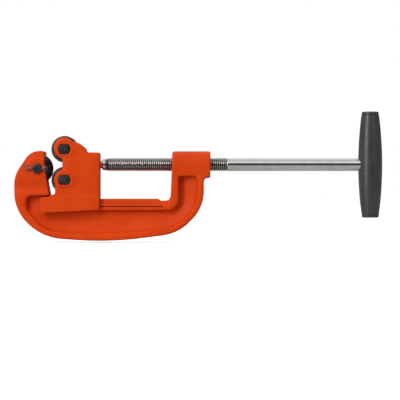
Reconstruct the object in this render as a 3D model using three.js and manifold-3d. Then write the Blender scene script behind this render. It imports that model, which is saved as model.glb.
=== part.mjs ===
// Screw-feed pipe cutter: a cast yoke holds the cutter wheel, a carrier with two rollers slides
// on the yoke's rail, and a feed screw with a cross grip pushes the carrier towards the wheel.
// Millimetres. +X runs along the feed screw from the jaw to the grip, +Z is up, and the origin
// is where the wheel's edge meets the screw line.
import * as THREE from "three";
import { mergeVertices } from "three/addons/utils/BufferGeometryUtils.js";
import Module from "manifold-3d";

const wasm = await Module();
wasm.setup();

// Fits between pieces
const RUNNING_GAP = 0.3; // radial, between a pin and what turns on it
const SIDE_GAP = 0.3; // end to end, between pieces that lie face to face
const THREAD_GAP = 0.35; // radial, between the screw's thread and the yoke's
const SLIDE_GAP = 0.3; // between the carrier and the rail
const CLOSED_GAP = 0.7; // wheel to lower roller with the screw run in
const CUT_OVERRUN = 2; // how far a cutter runs past the face that it cuts

// What the tool takes and how far it opens
const PIPE_CAPACITY = 60.3; // outside diameter of the largest pipe
const FLOOR_GAP = 0.35; // under the largest pipe
const TRAVEL = 66; // of the carrier

// Cutter wheel
const WHEEL_RADIUS = 15.5;
const WHEEL_DROP = 4.2; // of its axis below the screw line
const WHEEL_HUB_RADIUS = 8.4;
const WHEEL_HUB_HALF = 8.7;
const BLADE_SHOULDER = 11.6; // radius where the bevel starts
const BLADE_HALF = 2.6; // at the shoulder
const EDGE_HALF = 0.15;

// Rollers
const ROLLER_RADIUS = 13.5;
const ROLLER_HALF = 9.2;
const ROLLER_SPACING = 31.2; // axis to axis, one above and one below the screw line
const ROLLER_BEVEL = 1;
const ROLLER_DISH = 9.4; // radius of the dished face
const DISH_DEPTH = 0.8;

// Pins that the wheel and the rollers turn on
const PIN_RADIUS = 4.7;
const PIN_CHAMFER = 0.8;
const PIN_HEAD_HALF = 6.1; // half length of a roller pin's head
const PIN_FLAT_HALF = 4.85; // half height, across the head's two flats
const PIN_HEAD_THICK = 3;
const PIN_HEAD_PROUD = 0.5;
const HEAD_POCKET_GAP = 0.35;
const CLIP_THICK = 1;
const CLIP_RADIUS = 7.4;
const CLIP_BITE = 0.9; // depth of the clip's groove
const CLIP_MOUTH = 1.05; // half opening, radians
const PIN_TAIL = 1.8; // beyond the clip's groove
const WASHER_THICK = 1;
const WASHER_RADIUS = 8.2;
const WHEEL_PIN_HEAD_RADIUS = 7.2;
const WHEEL_PIN_HEAD_THICK = 3.2;

// Split pin through the wheel pin
const WIRE_RADIUS = 0.85;
const LEG_GAP = 0.12; // half gap between the two legs
const EYE_RADIUS = 1.9;
const SPLIT_PIN_STANDOFF = 0.6; // from the jaw's boss to the wire
const SPLIT_PIN_LEG = 10.5; // beyond the wheel pin
const LEG_SPLAY = 2.3;
const SPLIT_PIN_TAIL = 1.7; // of the wheel pin beyond the wire

// Yoke, side view
const JAW_TOP = 13.8;
const JAW_FRONT = -8.3; // upper part of the jaw's face
const JAW_FOOT = -3.2; // the face at the throat floor
const JAW_BACK = -39;
const JAW_SHOULDER = 6.5; // top's back corner, behind the wheel's axis
const BEND_HEIGHT = 11.5; // where the jaw's back turns upright, below the screw line
const BOW_MIDDLE = 59;
const BOW_DEPTH = 44.4; // from the rail's top to the bow's corner point
const HEEL = 28; // 45 degree corner under the jaw
const HEEL_RISE = 4.9;
const TOE = 26; // 45 degree corner under the column
const TOE_RISE = 9.2;
const COLUMN_BACK = 153.3;
const COLUMN_FACE = 119.4; // at the rail
const BOSS_RADIUS = 13.7;
const BOSS_START = 121;
const BOSS_END = 160;
const BOSS_LIP = 3.4; // height of the boss's flared underside
const BOSS_UNDERCUT = 0.5; // the flare starts this far below the boss
const BOSS_CHAMFER = 1.4; // at the end towards the jaw
const BOSS_EDGE = 0.6; // at the end towards the grip
const MOUTH_CHAMFER = 1.3; // at both mouths of the boss's thread
const RELIEF_DEPTH = 2.1; // notch at the rail's end
const RELIEF_LENGTH = 12.4;
const YOKE_ROUND = {
  edge: 0.8,
  jawTop: 16,
  jawBend: 30,
  heelUp: 44,
  heelDown: 54,
  bow: 350,
  toeDown: 45,
  toeUp: 40,
  column: 3,
  bossLip: 2,
  relief: 4.5,
  reliefStart: 1,
  jawFace: 8,
};
const POCKET_ROUND = {
  jaw: 6,
  heelUp: 16,
  heelDown: 30,
  toeDown: 36,
  toeUp: 32,
  column: 3,
  flange: 10,
  corner: 1,
};

// Yoke, across
const JAW_HALF = 15;
const PIN_BOSS_RADIUS = 11.4;
const PIN_BOSS_HEIGHT = 1;
const RIM_HALF = 14;
const WEB_HALF = 5;
const RAIL_HALF = 10.2;
const RAIL_STRIP_HALF = 9.2; // upper strip of the rail
const RAIL_HEIGHT = 12;
const RAIL_STRIP_HEIGHT = 6.6;
const RAIL_START = -12;
const JAW_RIM = 12;
const BOW_RIM = 8;
const COLUMN_RIM = 6.6;
const INNER_FLANGE = 8;
const FLANGE_LAP = 4; // the column's flange starts this far ahead of its face
const POCKET_HEEL = 20; // the pocket's 45 degree corners
const POCKET_TOE = 21.5;
const POCKET_SAG = 1.7; // the pocket's corners lie this much nearer the bow's edge
const BOSS_SINK = 2; // how far the pocket runs under the boss
const JAW_STEP = 31.4; // below the screw line, where the hollow starts
const CHEEK_FOOT = 27.4; // below the screw line, where the jaw's cheeks end
const WHEEL_SLOT_GAP = 0.9;

// Roller carrier; its sizes along X are from the rollers' axes
const CARRIER_HALF = 15.4;
const SKIRT_HALF = 16;
const SKIRT_INSIDE = RAIL_HALF + 2 * SLIDE_GAP;
const SKIRT_DEPTH = 14.9; // below the bridge
const SKIRT_TAPER = 3.1; // the skirt is shallower at its back end
const SKIRT_FRONT = 24.2;
const BRIDGE_FRONT = 14.6;
const BRIDGE_THICK = 3.9;
const STEP_DROP = 2.6; // from the throat floor to the skirt's ledge
const CARRIER_BACK = 35.5;
const CARRIER_TOP = 12.2;
const EAR_RADIUS = 10.8;
const EAR_LIFT = 0.9; // upper ear's centre above its roller
const LOWER_EAR_RADIUS = 10.4;
const CHEEK_FRONT = 9.4;
const VALLEY = 2.2; // notch between the ears, ahead of the rollers' axes
const SHOULDER_FRONT = 9.6;
const SHOULDER_BACK = 22;
const SHOULDER_TOP = 25.6;
const SHOULDER_RISE = 4.5; // of the slope's foot above the carrier's top
const CARRIER_ROUND = { edge: 0.8, shoulderFoot: 3, slopeFoot: 5, slopeTop: 8, valley: 1.5 };
const ROLLER_POCKET_GAP = 0.8;

// Feed screw
const PITCH = 2;
const THREAD_RADIUS = 7;
const THREAD_DEPTH = 1.15;
const THREAD_SIDES = 16;
const THREAD_LAP = 0.6; // the thread runs this far over the plain parts beside it
const THREAD_LENGTH = 122.8;
const CORE_RELIEF = 0.65; // the screw's core lies this far under the thread's valley
const LEAD_RELIEF = 0.1; // the plain lead lies this far under the valley
const LEAD_LENGTH = 4.5;
const SPIGOT_RADIUS = 4;
const SPIGOT_LENGTH = 20; // from its tip to the lead
const SPIGOT_SHOWS = 2.7; // between the carrier and the lead
const SPIGOT_GROOVE_RADIUS = 2.6;
const SPIGOT_GROOVE_PLACE = 10; // from the lead to the groove's middle
const SHANK_RELIEF = 0.5; // the shank lies this far under the thread's ridge
const SCREW_CHAMFER = 0.6;
const RETAINING_PIN_RADIUS = 1.5;
const RETAINING_PIN_LENGTH = 20;
const RETAINING_PIN_SUNK = 0.8;
const DISC_THICK = 2.4;

// Grip
const GRIP_AXIS = 323; // from the wheel's edge
const GRIP_HALF_LENGTH = 54;
const GRIP_MIDDLE_RADIUS = 12.2;
const GRIP_END_RADIUS = 8.5;
const GRIP_ROUND = 2;
const BAR_RADIUS = 4;
const BAR_HALF_LENGTH = 44;
const SHANK_PAST_BAR = 7.5; // from the grip's axis to the shank's end
const ROLL_PIN_RADIUS = 1.4;
const ROLL_PIN_GAP = 0.3;
const ROLL_PIN_BORE = 0.6;

// Places that follow from the sizes above
const wheelX = -WHEEL_RADIUS;
const wheelZ = -WHEEL_DROP;
const rollerZ = ROLLER_SPACING / 2;
const closedReach = WHEEL_RADIUS + ROLLER_RADIUS + CLOSED_GAP;
const rollerX = wheelX + Math.sqrt(closedReach ** 2 - (rollerZ - WHEEL_DROP) ** 2);
const floorZ = -(PIPE_CAPACITY / 2 + FLOOR_GAP);
const railTop = floorZ - BRIDGE_THICK - SLIDE_GAP;
const railBottom = railTop - RAIL_HEIGHT;
const bowBottom = railTop - BOW_DEPTH;
const carrierBack = rollerX + CARRIER_BACK;
const leadStart = carrierBack + SPIGOT_SHOWS;
const threadStart = leadStart + LEAD_LENGTH;
const threadEnd = threadStart + THREAD_LENGTH;
const wheelSlotHalf = WHEEL_HUB_HALF + SIDE_GAP;
const rollerSlotHalf = ROLLER_HALF + SIDE_GAP;
const pinBore = PIN_RADIUS + RUNNING_GAP;
const threadValley = THREAD_RADIUS - THREAD_DEPTH;
const coreRadius = threadValley - CORE_RELIEF;
const leadRadius = threadValley - LEAD_RELIEF;
const shankRadius = THREAD_RADIUS - SHANK_RELIEF;
const jawBossFace = JAW_HALF + PIN_BOSS_HEIGHT;

const castPaint = { color: 0xc8441a, roughness: 0.42, metalness: 0.1 };
const blackSteel = { color: 0x2b2b2e, roughness: 0.45, metalness: 0.85 };
const darkSteel = { color: 0x3a3a3c, roughness: 0.55, metalness: 0.8 };
const brightSteel = { color: 0xb4b4b0, roughness: 0.3, metalness: 1 };
const blackPlastic = { color: 0x2e2e2f, roughness: 0.55, metalness: 0 };

const tool = new THREE.Group();
tool.name = "pipe_cutter";

// Turns a three.js geometry into a solid that can be cut and joined.
function solid(geometry) {
  const bare = geometry.index ? geometry.toNonIndexed() : geometry.clone();
  bare.deleteAttribute("normal");
  bare.deleteAttribute("uv");
  const merged = mergeVertices(bare, 1e-4);
  return new wasm.Manifold(
    new wasm.Mesh({
      numProp: 3,
      vertProperties: merged.attributes.position.array,
      triVerts: new Uint32Array(merged.index.array),
    }),
  );
}

// Adds one piece of the tool, with its own material.
function addPiece(name, body, finish) {
  const faces = body.getMesh();
  const geometry = new THREE.BufferGeometry();
  geometry.setAttribute("position", new THREE.BufferAttribute(faces.vertProperties, 3));
  geometry.setIndex(new THREE.BufferAttribute(faces.triVerts, 1));
  geometry.computeVertexNormals();
  const mesh = new THREE.Mesh(geometry, new THREE.MeshStandardMaterial(finish));
  mesh.name = name;
  tool.add(mesh);
}

// The points of a corner rounded to `radius`, between its two neighbours.
function roundCorner([ax, az], [x, z, radius = 0], [bx, bz]) {
  if (radius === 0) {
    return [new THREE.Vector2(x, z)];
  }
  const corner = new THREE.Vector2(x, z);
  const toA = new THREE.Vector2(ax - x, az - z).normalize();
  const toB = new THREE.Vector2(bx - x, bz - z).normalize();
  const halfAngle = Math.acos(THREE.MathUtils.clamp(toA.dot(toB), -1, 1)) / 2;
  const middle = toA.clone().add(toB).normalize();
  const centre = corner.clone().addScaledVector(middle, radius / Math.sin(halfAngle));
  const tangent = radius / Math.tan(halfAngle);
  const from = corner.clone().addScaledVector(toA, tangent).sub(centre).angle();
  const to = corner.clone().addScaledVector(toB, tangent).sub(centre).angle();
  const turn = THREE.MathUtils.euclideanModulo(to - from + Math.PI, 2 * Math.PI) - Math.PI;
  const chord = 2 * Math.acos(1 - Math.min(0.08 / radius, 0.2));
  const steps = Math.max(2, Math.ceil(Math.abs(turn) / chord));
  return Array.from({ length: steps + 1 }, (_, i) => {
    const angle = from + (turn * i) / steps;
    return new THREE.Vector2(Math.cos(angle), Math.sin(angle)).multiplyScalar(radius).add(centre);
  });
}

// A side view outline from its corners, each [x, z, radius].
function outline(corners) {
  const last = corners.length - 1;
  const points = corners.flatMap((corner, i) =>
    roundCorner(corners[i === 0 ? last : i - 1], corner, corners[i === last ? 0 : i + 1]),
  );
  return new THREE.Shape(points);
}

// A side view outline given thickness from y = near to y = far.
function plate(shape, near, far) {
  const geometry = new THREE.ExtrudeGeometry(shape, {
    depth: far - near,
    bevelEnabled: false,
    curveSegments: 6,
  });
  geometry.rotateX(Math.PI / 2); // the outline's up is +Z, its thickness runs to -Y
  geometry.translate(0, far, 0);
  return solid(geometry);
}

// A box from one corner to the other.
function box(x0, y0, z0, x1, y1, z1) {
  const geometry = new THREE.BoxGeometry(x1 - x0, y1 - y0, z1 - z0);
  geometry.translate((x0 + x1) / 2, (y0 + y1) / 2, (z0 + z1) / 2);
  return solid(geometry);
}

// A turned body; the profile is [radius, place along the axis] from one end to the other.
function turned(profile, sides, axis) {
  const points = profile.map(([radius, place]) => new THREE.Vector2(radius, place));
  const geometry = new THREE.LatheGeometry(points, sides);
  if (axis === "x") {
    geometry.rotateZ(-Math.PI / 2);
  }
  if (axis === "z") {
    geometry.rotateX(Math.PI / 2);
  }
  return solid(geometry);
}

// A plain round bar from `start` to `end` along its axis.
function bar(radius, start, end, sides, axis) {
  return turned([[0, start], [radius, start], [radius, end], [0, end]], sides, axis);
}

// A right-hand V thread along +X. Its ridge and valley are two lines that wind together.
function vThread(ridge, valley, start, end) {
  const rows = Math.ceil((2 * (end - start)) / PITCH) + 4;
  const first = PITCH * (Math.floor(start / PITCH) - 1);
  const positions = [];
  for (let row = 0; row < rows + 3; row++) {
    for (let side = 0; side < THREAD_SIDES; side++) {
      const angle = (2 * Math.PI * side) / THREAD_SIDES;
      const radius = row % 2 === 0 ? ridge : valley;
      const x = first + PITCH * (row / 2 + side / THREAD_SIDES);
      positions.push(x, radius * Math.cos(angle), radius * Math.sin(angle));
    }
  }
  const at = (row, side) =>
    side < THREAD_SIDES ? row * THREAD_SIDES + side : (row + 2) * THREAD_SIDES;
  const faces = [];
  for (let row = 0; row < rows; row++) {
    for (let side = 0; side < THREAD_SIDES; side++) {
      faces.push(at(row, side), at(row, side + 1), at(row + 1, side));
      faces.push(at(row, side + 1), at(row + 1, side + 1), at(row + 1, side));
    }
  }
  closeThreadEnd(positions, faces, at, 0, first + PITCH / 2, false);
  closeThreadEnd(positions, faces, at, rows, first + PITCH * (rows / 2 + 0.5), true);
  const geometry = new THREE.BufferGeometry();
  geometry.setAttribute("position", new THREE.Float32BufferAttribute(positions, 3));
  geometry.setIndex(faces);
  return solid(geometry).intersect(bar(ridge + CUT_OVERRUN, start, end, THREAD_SIDES, "x"));
}

// Closes one end of a thread with a fan of faces round a point on the axis.
function closeThreadEnd(positions, faces, at, row, x, isFarEnd) {
  const hub = positions.length / 3;
  positions.push(x, 0, 0);
  const rim = Array.from({ length: THREAD_SIDES + 1 }, (_, side) => at(row, side));
  rim.push(at(row + 1, 0));
  rim.forEach((point, i) => {
    const next = rim[(i + 1) % rim.length];
    faces.push(...(isFarEnd ? [hub, point, next] : [hub, next, point]));
  });
}

// ---- Yoke: jaw, bow, rail, column and threaded boss in one casting ----

function yokeOutline() {
  const reliefStart = COLUMN_FACE - RELIEF_LENGTH;
  return outline([
    [JAW_FRONT, JAW_TOP, YOKE_ROUND.edge],
    [wheelX - JAW_SHOULDER, JAW_TOP, YOKE_ROUND.jawTop],
    [JAW_BACK, -BEND_HEIGHT, YOKE_ROUND.jawBend],
    [JAW_BACK, bowBottom + HEEL_RISE + HEEL, YOKE_ROUND.heelUp],
    [JAW_BACK + HEEL, bowBottom + HEEL_RISE, YOKE_ROUND.heelDown],
    [BOW_MIDDLE, bowBottom, YOKE_ROUND.bow],
    [COLUMN_BACK - TOE, bowBottom + TOE_RISE, YOKE_ROUND.toeDown],
    [COLUMN_BACK, bowBottom + TOE_RISE + TOE, YOKE_ROUND.toeUp],
    [COLUMN_BACK, -BOSS_RADIUS - BOSS_UNDERCUT, YOKE_ROUND.column],
    [BOSS_END, -BOSS_RADIUS + BOSS_LIP, YOKE_ROUND.bossLip],
    [BOSS_END, 0],
    [BOSS_START, 0],
    [COLUMN_FACE, railTop - RELIEF_DEPTH, YOKE_ROUND.relief],
    [reliefStart + RELIEF_DEPTH, railTop - RELIEF_DEPTH, YOKE_ROUND.reliefStart],
    [reliefStart, railTop, YOKE_ROUND.reliefStart],
    [JAW_FOOT, railTop],
    [JAW_FOOT, floorZ],
    [JAW_FRONT, -WHEEL_DROP / 2, YOKE_ROUND.jawFace],
  ]);
}

// The hollow inside the yoke's rim, on both sides of its web.
function pocketOutline() {
  const left = JAW_BACK + JAW_RIM;
  const bottom = bowBottom + BOW_RIM;
  const right = COLUMN_BACK - COLUMN_RIM;
  const inner = COLUMN_FACE + INNER_FLANGE;
  const railClear = railTop + CUT_OVERRUN;
  const flangeStart = COLUMN_FACE - FLANGE_LAP;
  return outline([
    [left, -JAW_STEP, POCKET_ROUND.jaw],
    [left, bottom + HEEL_RISE + POCKET_HEEL, POCKET_ROUND.heelUp],
    [left + POCKET_HEEL, bottom + HEEL_RISE - POCKET_SAG, POCKET_ROUND.heelDown],
    [BOW_MIDDLE, bottom, YOKE_ROUND.bow],
    [right - POCKET_TOE, bottom + TOE_RISE - POCKET_SAG, POCKET_ROUND.toeDown],
    [right, bottom + TOE_RISE + POCKET_TOE - POCKET_SAG, POCKET_ROUND.toeUp],
    [right, -BOSS_RADIUS + BOSS_SINK, POCKET_ROUND.column],
    [inner, -BOSS_RADIUS + BOSS_SINK, POCKET_ROUND.corner],
    [inner, railBottom, POCKET_ROUND.flange],
    [flangeStart, railBottom, POCKET_ROUND.corner],
    [flangeStart, railClear],
    [JAW_FOOT + 1, railClear],
    [JAW_FOOT + 1, -JAW_STEP],
  ]);
}

// The gap between the jaw's two cheeks, which the wheel turns in; it is open at the top.
function wheelSlot() {
  const reach = WHEEL_RADIUS + WHEEL_SLOT_GAP;
  const shape = new THREE.Shape();
  shape.moveTo(wheelX + reach, JAW_TOP + CUT_OVERRUN);
  shape.lineTo(JAW_BACK, JAW_TOP + CUT_OVERRUN);
  shape.lineTo(JAW_BACK, wheelZ);
  shape.absarc(wheelX, wheelZ, reach, Math.PI, 2 * Math.PI, false);
  return plate(shape, -wheelSlotHalf, wheelSlotHalf);
}

function yoke() {
  const side = yokeOutline();
  const rim = plate(side, -RIM_HALF, RIM_HALF).subtract(
    plate(pocketOutline(), -JAW_HALF - CUT_OVERRUN, JAW_HALF + CUT_OVERRUN),
  );
  const web = plate(side, -WEB_HALF, WEB_HALF);
  const jaw = plate(side, -JAW_HALF, JAW_HALF).intersect(
    box(JAW_BACK, -JAW_HALF, -CHEEK_FOOT, 0, JAW_HALF, JAW_TOP),
  );
  const strip = box(
    RAIL_START, -RAIL_STRIP_HALF, railTop - RAIL_STRIP_HEIGHT - 1,
    COLUMN_FACE, RAIL_STRIP_HALF, railTop,
  ).intersect(plate(side, -RAIL_HALF, RAIL_HALF));
  const rail = box(
    RAIL_START, -RAIL_HALF, railBottom,
    COLUMN_FACE + INNER_FLANGE, RAIL_HALF, railTop - RAIL_STRIP_HEIGHT,
  );
  const pinBoss = bar(PIN_BOSS_RADIUS, -jawBossFace, jawBossFace, 36, "y")
    .translate(wheelX, 0, wheelZ)
    .intersect(plate(side, -jawBossFace, jawBossFace));
  const boss = turned(
    [
      [0, BOSS_START],
      [BOSS_RADIUS - BOSS_CHAMFER, BOSS_START],
      [BOSS_RADIUS, BOSS_START + BOSS_CHAMFER],
      [BOSS_RADIUS, BOSS_END - BOSS_EDGE],
      [BOSS_RADIUS - BOSS_EDGE, BOSS_END],
      [0, BOSS_END],
    ],
    36,
    "x",
  );
  const pinHole = bar(pinBore, -jawBossFace - 1, jawBossFace + 1, 24, "y")
    .translate(wheelX, 0, wheelZ);
  return wasm.Manifold.union([web, rim, jaw, strip, rail, pinBoss, boss])
    .subtract(wheelSlot())
    .subtract(pinHole)
    .subtract(bossThread());
}

// The boss's female thread, with a countersink at each mouth.
function bossThread() {
  const ridge = THREAD_RADIUS + THREAD_GAP;
  const valley = ridge - THREAD_DEPTH;
  const cut = vThread(ridge, valley, BOSS_START - CUT_OVERRUN, BOSS_END + CUT_OVERRUN);
  const mouths = [
    [BOSS_START, 1],
    [BOSS_END, -1],
  ].map(([face, way]) => {
    const outside = face - MOUTH_CHAMFER * way;
    const inside = face + MOUTH_CHAMFER * way;
    const profile = [
      [0, outside],
      [ridge + MOUTH_CHAMFER, outside],
      [valley, inside],
      [0, inside],
    ];
    return turned(way > 0 ? profile : profile.reverse(), THREAD_SIDES, "x");
  });
  return wasm.Manifold.union([cut, ...mouths]);
}

// ---- Cutter wheel, its pin and its split pin ----

function cutterWheel() {
  const bevel = [BLADE_SHOULDER, BLADE_HALF];
  const edge = [WHEEL_RADIUS, EDGE_HALF];
  const half = [[pinBore, WHEEL_HUB_HALF], [WHEEL_HUB_RADIUS, WHEEL_HUB_HALF],
    [WHEEL_HUB_RADIUS, BLADE_HALF + 0.4], bevel, edge];
  const mirrored = half.map(([radius, place]) => [radius, -place]);
  const profile = [...mirrored, ...half.reverse(), [pinBore, -WHEEL_HUB_HALF]];
  return turned(profile, 36, "y").translate(wheelX, 0, wheelZ);
}

const splitPinY = -(jawBossFace + SPLIT_PIN_STANDOFF + WIRE_RADIUS);
const legZ = WIRE_RADIUS + LEG_GAP;

function wheelPin() {
  const near = splitPinY - WIRE_RADIUS - SPLIT_PIN_TAIL;
  const seat = jawBossFace + SIDE_GAP;
  const far = seat + WHEEL_PIN_HEAD_THICK;
  const body = turned(
    [
      [0, near],
      [PIN_RADIUS - PIN_CHAMFER, near],
      [PIN_RADIUS, near + PIN_CHAMFER],
      [PIN_RADIUS, seat],
      [WHEEL_PIN_HEAD_RADIUS, seat],
      [WHEEL_PIN_HEAD_RADIUS, far - PIN_CHAMFER],
      [WHEEL_PIN_HEAD_RADIUS - PIN_CHAMFER, far],
      [0, far],
    ],
    32,
    "y",
  );
  const holeRadius = 2 * WIRE_RADIUS + LEG_GAP + RUNNING_GAP;
  const hole = bar(holeRadius, -PIN_RADIUS - 1, PIN_RADIUS + 1, 16, "x")
    .translate(0, splitPinY, 0);
  return body.subtract(hole).translate(wheelX, 0, wheelZ);
}

// One wire bent double: a leg, the eye, and the other leg, with both tips bent apart.
function splitPin() {
  const near = PIN_RADIUS + 1;
  const eye = near + EYE_RADIUS + 0.6;
  const bend = -PIN_RADIUS - 1.2;
  const tip = -PIN_RADIUS - SPLIT_PIN_LEG;
  const loop = Array.from({ length: 7 }, (_, i) => {
    const angle = THREE.MathUtils.degToRad(-150 + 50 * i);
    return new THREE.Vector3(eye + EYE_RADIUS * Math.cos(angle), 0, EYE_RADIUS * Math.sin(angle));
  });
  const route = new THREE.CatmullRomCurve3([
    new THREE.Vector3(tip, 0, -legZ - LEG_SPLAY),
    new THREE.Vector3((tip + bend) / 2, 0, -legZ - LEG_SPLAY * 0.55),
    new THREE.Vector3(bend, 0, -legZ),
    new THREE.Vector3(0, 0, -legZ),
    new THREE.Vector3(near - 1, 0, -legZ),
    ...loop,
    new THREE.Vector3(near - 1, 0, legZ),
    new THREE.Vector3(0, 0, legZ),
    new THREE.Vector3(bend, 0, legZ),
    new THREE.Vector3((tip + bend) / 2, 0, legZ + LEG_SPLAY * 0.55),
    new THREE.Vector3(tip, 0, legZ + LEG_SPLAY),
  ]);
  return tube(route, WIRE_RADIUS, 48, 8).translate(wheelX, splitPinY, wheelZ);
}

// A round wire along a curve.
function tube(route, radius, steps, sides) {
  const section = new THREE.Shape(
    Array.from({ length: sides }, (_, i) => {
      const angle = (2 * Math.PI * i) / sides;
      return new THREE.Vector2(radius * Math.cos(angle), radius * Math.sin(angle));
    }),
  );
  return solid(new THREE.ExtrudeGeometry(section, { steps, extrudePath: route }));
}

// ---- Rollers, their pins, washers and clips ----

function roller() {
  const half = [
    [pinBore, ROLLER_HALF - DISH_DEPTH],
    [ROLLER_DISH - DISH_DEPTH, ROLLER_HALF - DISH_DEPTH],
    [ROLLER_DISH, ROLLER_HALF],
    [ROLLER_RADIUS - ROLLER_BEVEL, ROLLER_HALF],
    [ROLLER_RADIUS, ROLLER_HALF - ROLLER_BEVEL],
  ];
  const mirrored = half.map(([radius, place]) => [radius, -place]);
  const profile = [...mirrored, ...half.reverse(), mirrored[0]];
  return turned(profile, 32, "y");
}

const headBack = -CARRIER_HALF + PIN_HEAD_THICK - PIN_HEAD_PROUD;
const washerNear = CARRIER_HALF + SIDE_GAP;
const clipNear = washerNear + WASHER_THICK + SIDE_GAP;
const grooveNear = clipNear - SIDE_GAP / 2;
const grooveFar = clipNear + CLIP_THICK + SIDE_GAP / 2;

// The head's shape: round, with a flat above and a flat below.
function pinHead(halfLength, halfHeight, near, far) {
  const round = bar(halfLength, near, far, 32, "y");
  return round.intersect(box(-halfLength, near, -halfHeight, halfLength, far, halfHeight));
}

function rollerPin() {
  const tail = grooveFar + PIN_TAIL;
  const shank = turned(
    [
      [0, headBack - 1],
      [PIN_RADIUS, headBack - 1],
      [PIN_RADIUS, grooveNear],
      [PIN_RADIUS - CLIP_BITE, grooveNear],
      [PIN_RADIUS - CLIP_BITE, grooveFar],
      [PIN_RADIUS, grooveFar],
      [PIN_RADIUS, tail - PIN_CHAMFER],
      [PIN_RADIUS - PIN_CHAMFER, tail],
      [0, tail],
    ],
    32,
    "y",
  );
  const head = pinHead(PIN_HEAD_HALF, PIN_FLAT_HALF, headBack - PIN_HEAD_THICK, headBack);
  return shank.add(head);
}

function pinWasher() {
  const far = washerNear + WASHER_THICK;
  const profile = [
    [pinBore, washerNear],
    [WASHER_RADIUS, washerNear],
    [WASHER_RADIUS, far],
    [pinBore, far],
    [pinBore, washerNear],
  ];
  return turned(profile, 32, "y");
}

// An open spring ring that snaps into the pin's groove, its mouth towards the screw.
function pinClip() {
  const inner = PIN_RADIUS - CLIP_BITE + RUNNING_GAP;
  const ring = new THREE.Shape();
  ring.absarc(0, 0, CLIP_RADIUS, CLIP_MOUTH, 2 * Math.PI - CLIP_MOUTH, false);
  ring.absarc(0, 0, inner, 2 * Math.PI - CLIP_MOUTH, CLIP_MOUTH, true);
  const geometry = new THREE.ExtrudeGeometry(ring, {
    depth: CLIP_THICK,
    bevelEnabled: false,
    curveSegments: 16,
  });
  geometry.rotateX(Math.PI / 2);
  geometry.translate(0, clipNear + CLIP_THICK, 0);
  return solid(geometry);
}

// ---- Roller carrier ----

function carrierOutline() {
  return outline([
    [-CHEEK_FRONT, floorZ - 1],
    [CARRIER_BACK, floorZ - 1],
    [CARRIER_BACK, CARRIER_TOP, CARRIER_ROUND.edge],
    [SHOULDER_BACK, CARRIER_TOP, CARRIER_ROUND.shoulderFoot],
    [SHOULDER_BACK - 1, CARRIER_TOP + SHOULDER_RISE, CARRIER_ROUND.slopeFoot],
    [SHOULDER_FRONT, SHOULDER_TOP, CARRIER_ROUND.slopeTop],
    [0, rollerZ],
    [-VALLEY, 0, CARRIER_ROUND.valley],
    [0, -rollerZ],
    [-CHEEK_FRONT, -rollerZ],
  ]);
}

function carrier() {
  const cheeks = plate(carrierOutline(), -CARRIER_HALF, CARRIER_HALF);
  const ears = [
    [EAR_RADIUS, rollerZ + EAR_LIFT],
    [LOWER_EAR_RADIUS, -rollerZ],
  ].map(([radius, z]) => bar(radius, -CARRIER_HALF, CARRIER_HALF, 40, "y").translate(0, 0, z));
  const bridge = box(
    -BRIDGE_FRONT, -CARRIER_HALF, floorZ - BRIDGE_THICK,
    CARRIER_BACK, CARRIER_HALF, floorZ,
  );
  const ledge = floorZ - STEP_DROP;
  const foot = floorZ - BRIDGE_THICK - SKIRT_DEPTH;
  const skirtSide = outline([
    [-SKIRT_FRONT, ledge, CARRIER_ROUND.edge],
    [-SKIRT_FRONT, foot, CARRIER_ROUND.edge],
    [CARRIER_BACK, foot + SKIRT_TAPER, CARRIER_ROUND.edge],
    [CARRIER_BACK, ledge, CARRIER_ROUND.edge],
  ]);
  const skirts = plate(skirtSide, -SKIRT_HALF, SKIRT_HALF).subtract(
    box(
      -SKIRT_FRONT - 1, -SKIRT_INSIDE, foot - 1,
      CARRIER_BACK + 1, SKIRT_INSIDE, floorZ - BRIDGE_THICK,
    ),
  ).subtract(
    box(-SKIRT_FRONT - 1, -SKIRT_INSIDE, foot - 1, -BRIDGE_FRONT, SKIRT_INSIDE, floorZ),
  );
  const pocketReach = ROLLER_RADIUS + ROLLER_POCKET_GAP;
  const pockets = [rollerZ, -rollerZ].flatMap((z) => [
    bar(pocketReach, -rollerSlotHalf, rollerSlotHalf, 40, "y").translate(0, 0, z),
    box(-SKIRT_FRONT, -rollerSlotHalf, z - 1, 0, rollerSlotHalf, z + 1),
  ]);
  const throat = box(
    -SKIRT_FRONT, -rollerSlotHalf, floorZ, 0, rollerSlotHalf, 2 * rollerZ,
  );
  const pinHoles = [rollerZ, -rollerZ].flatMap((z) => [
    bar(pinBore, -SKIRT_HALF - 1, SKIRT_HALF + 1, 32, "y").translate(0, 0, z),
    pinHead(
      PIN_HEAD_HALF + HEAD_POCKET_GAP, PIN_FLAT_HALF + HEAD_POCKET_GAP,
      -SKIRT_HALF - 1, headBack + HEAD_POCKET_GAP,
    ).translate(0, 0, z),
  ]);
  return wasm.Manifold.union([cheeks, ...ears, bridge, skirts])
    .subtract(wasm.Manifold.union([...pockets, throat, ...pinHoles]))
    .translate(rollerX, 0, 0)
    .subtract(screwSocket());
}

// ---- Feed screw and what holds it in the carrier ----

const spigotTip = leadStart - SPIGOT_LENGTH;
const grooveX = leadStart - SPIGOT_GROOVE_PLACE;
const grooveHalf = RETAINING_PIN_RADIUS + SIDE_GAP;
const retainingY = SPIGOT_GROOVE_RADIUS + RUNNING_GAP + RETAINING_PIN_RADIUS;
const retainingTop = CARRIER_TOP - RETAINING_PIN_SUNK;
const shankEnd = GRIP_AXIS + SHANK_PAST_BAR;

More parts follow.
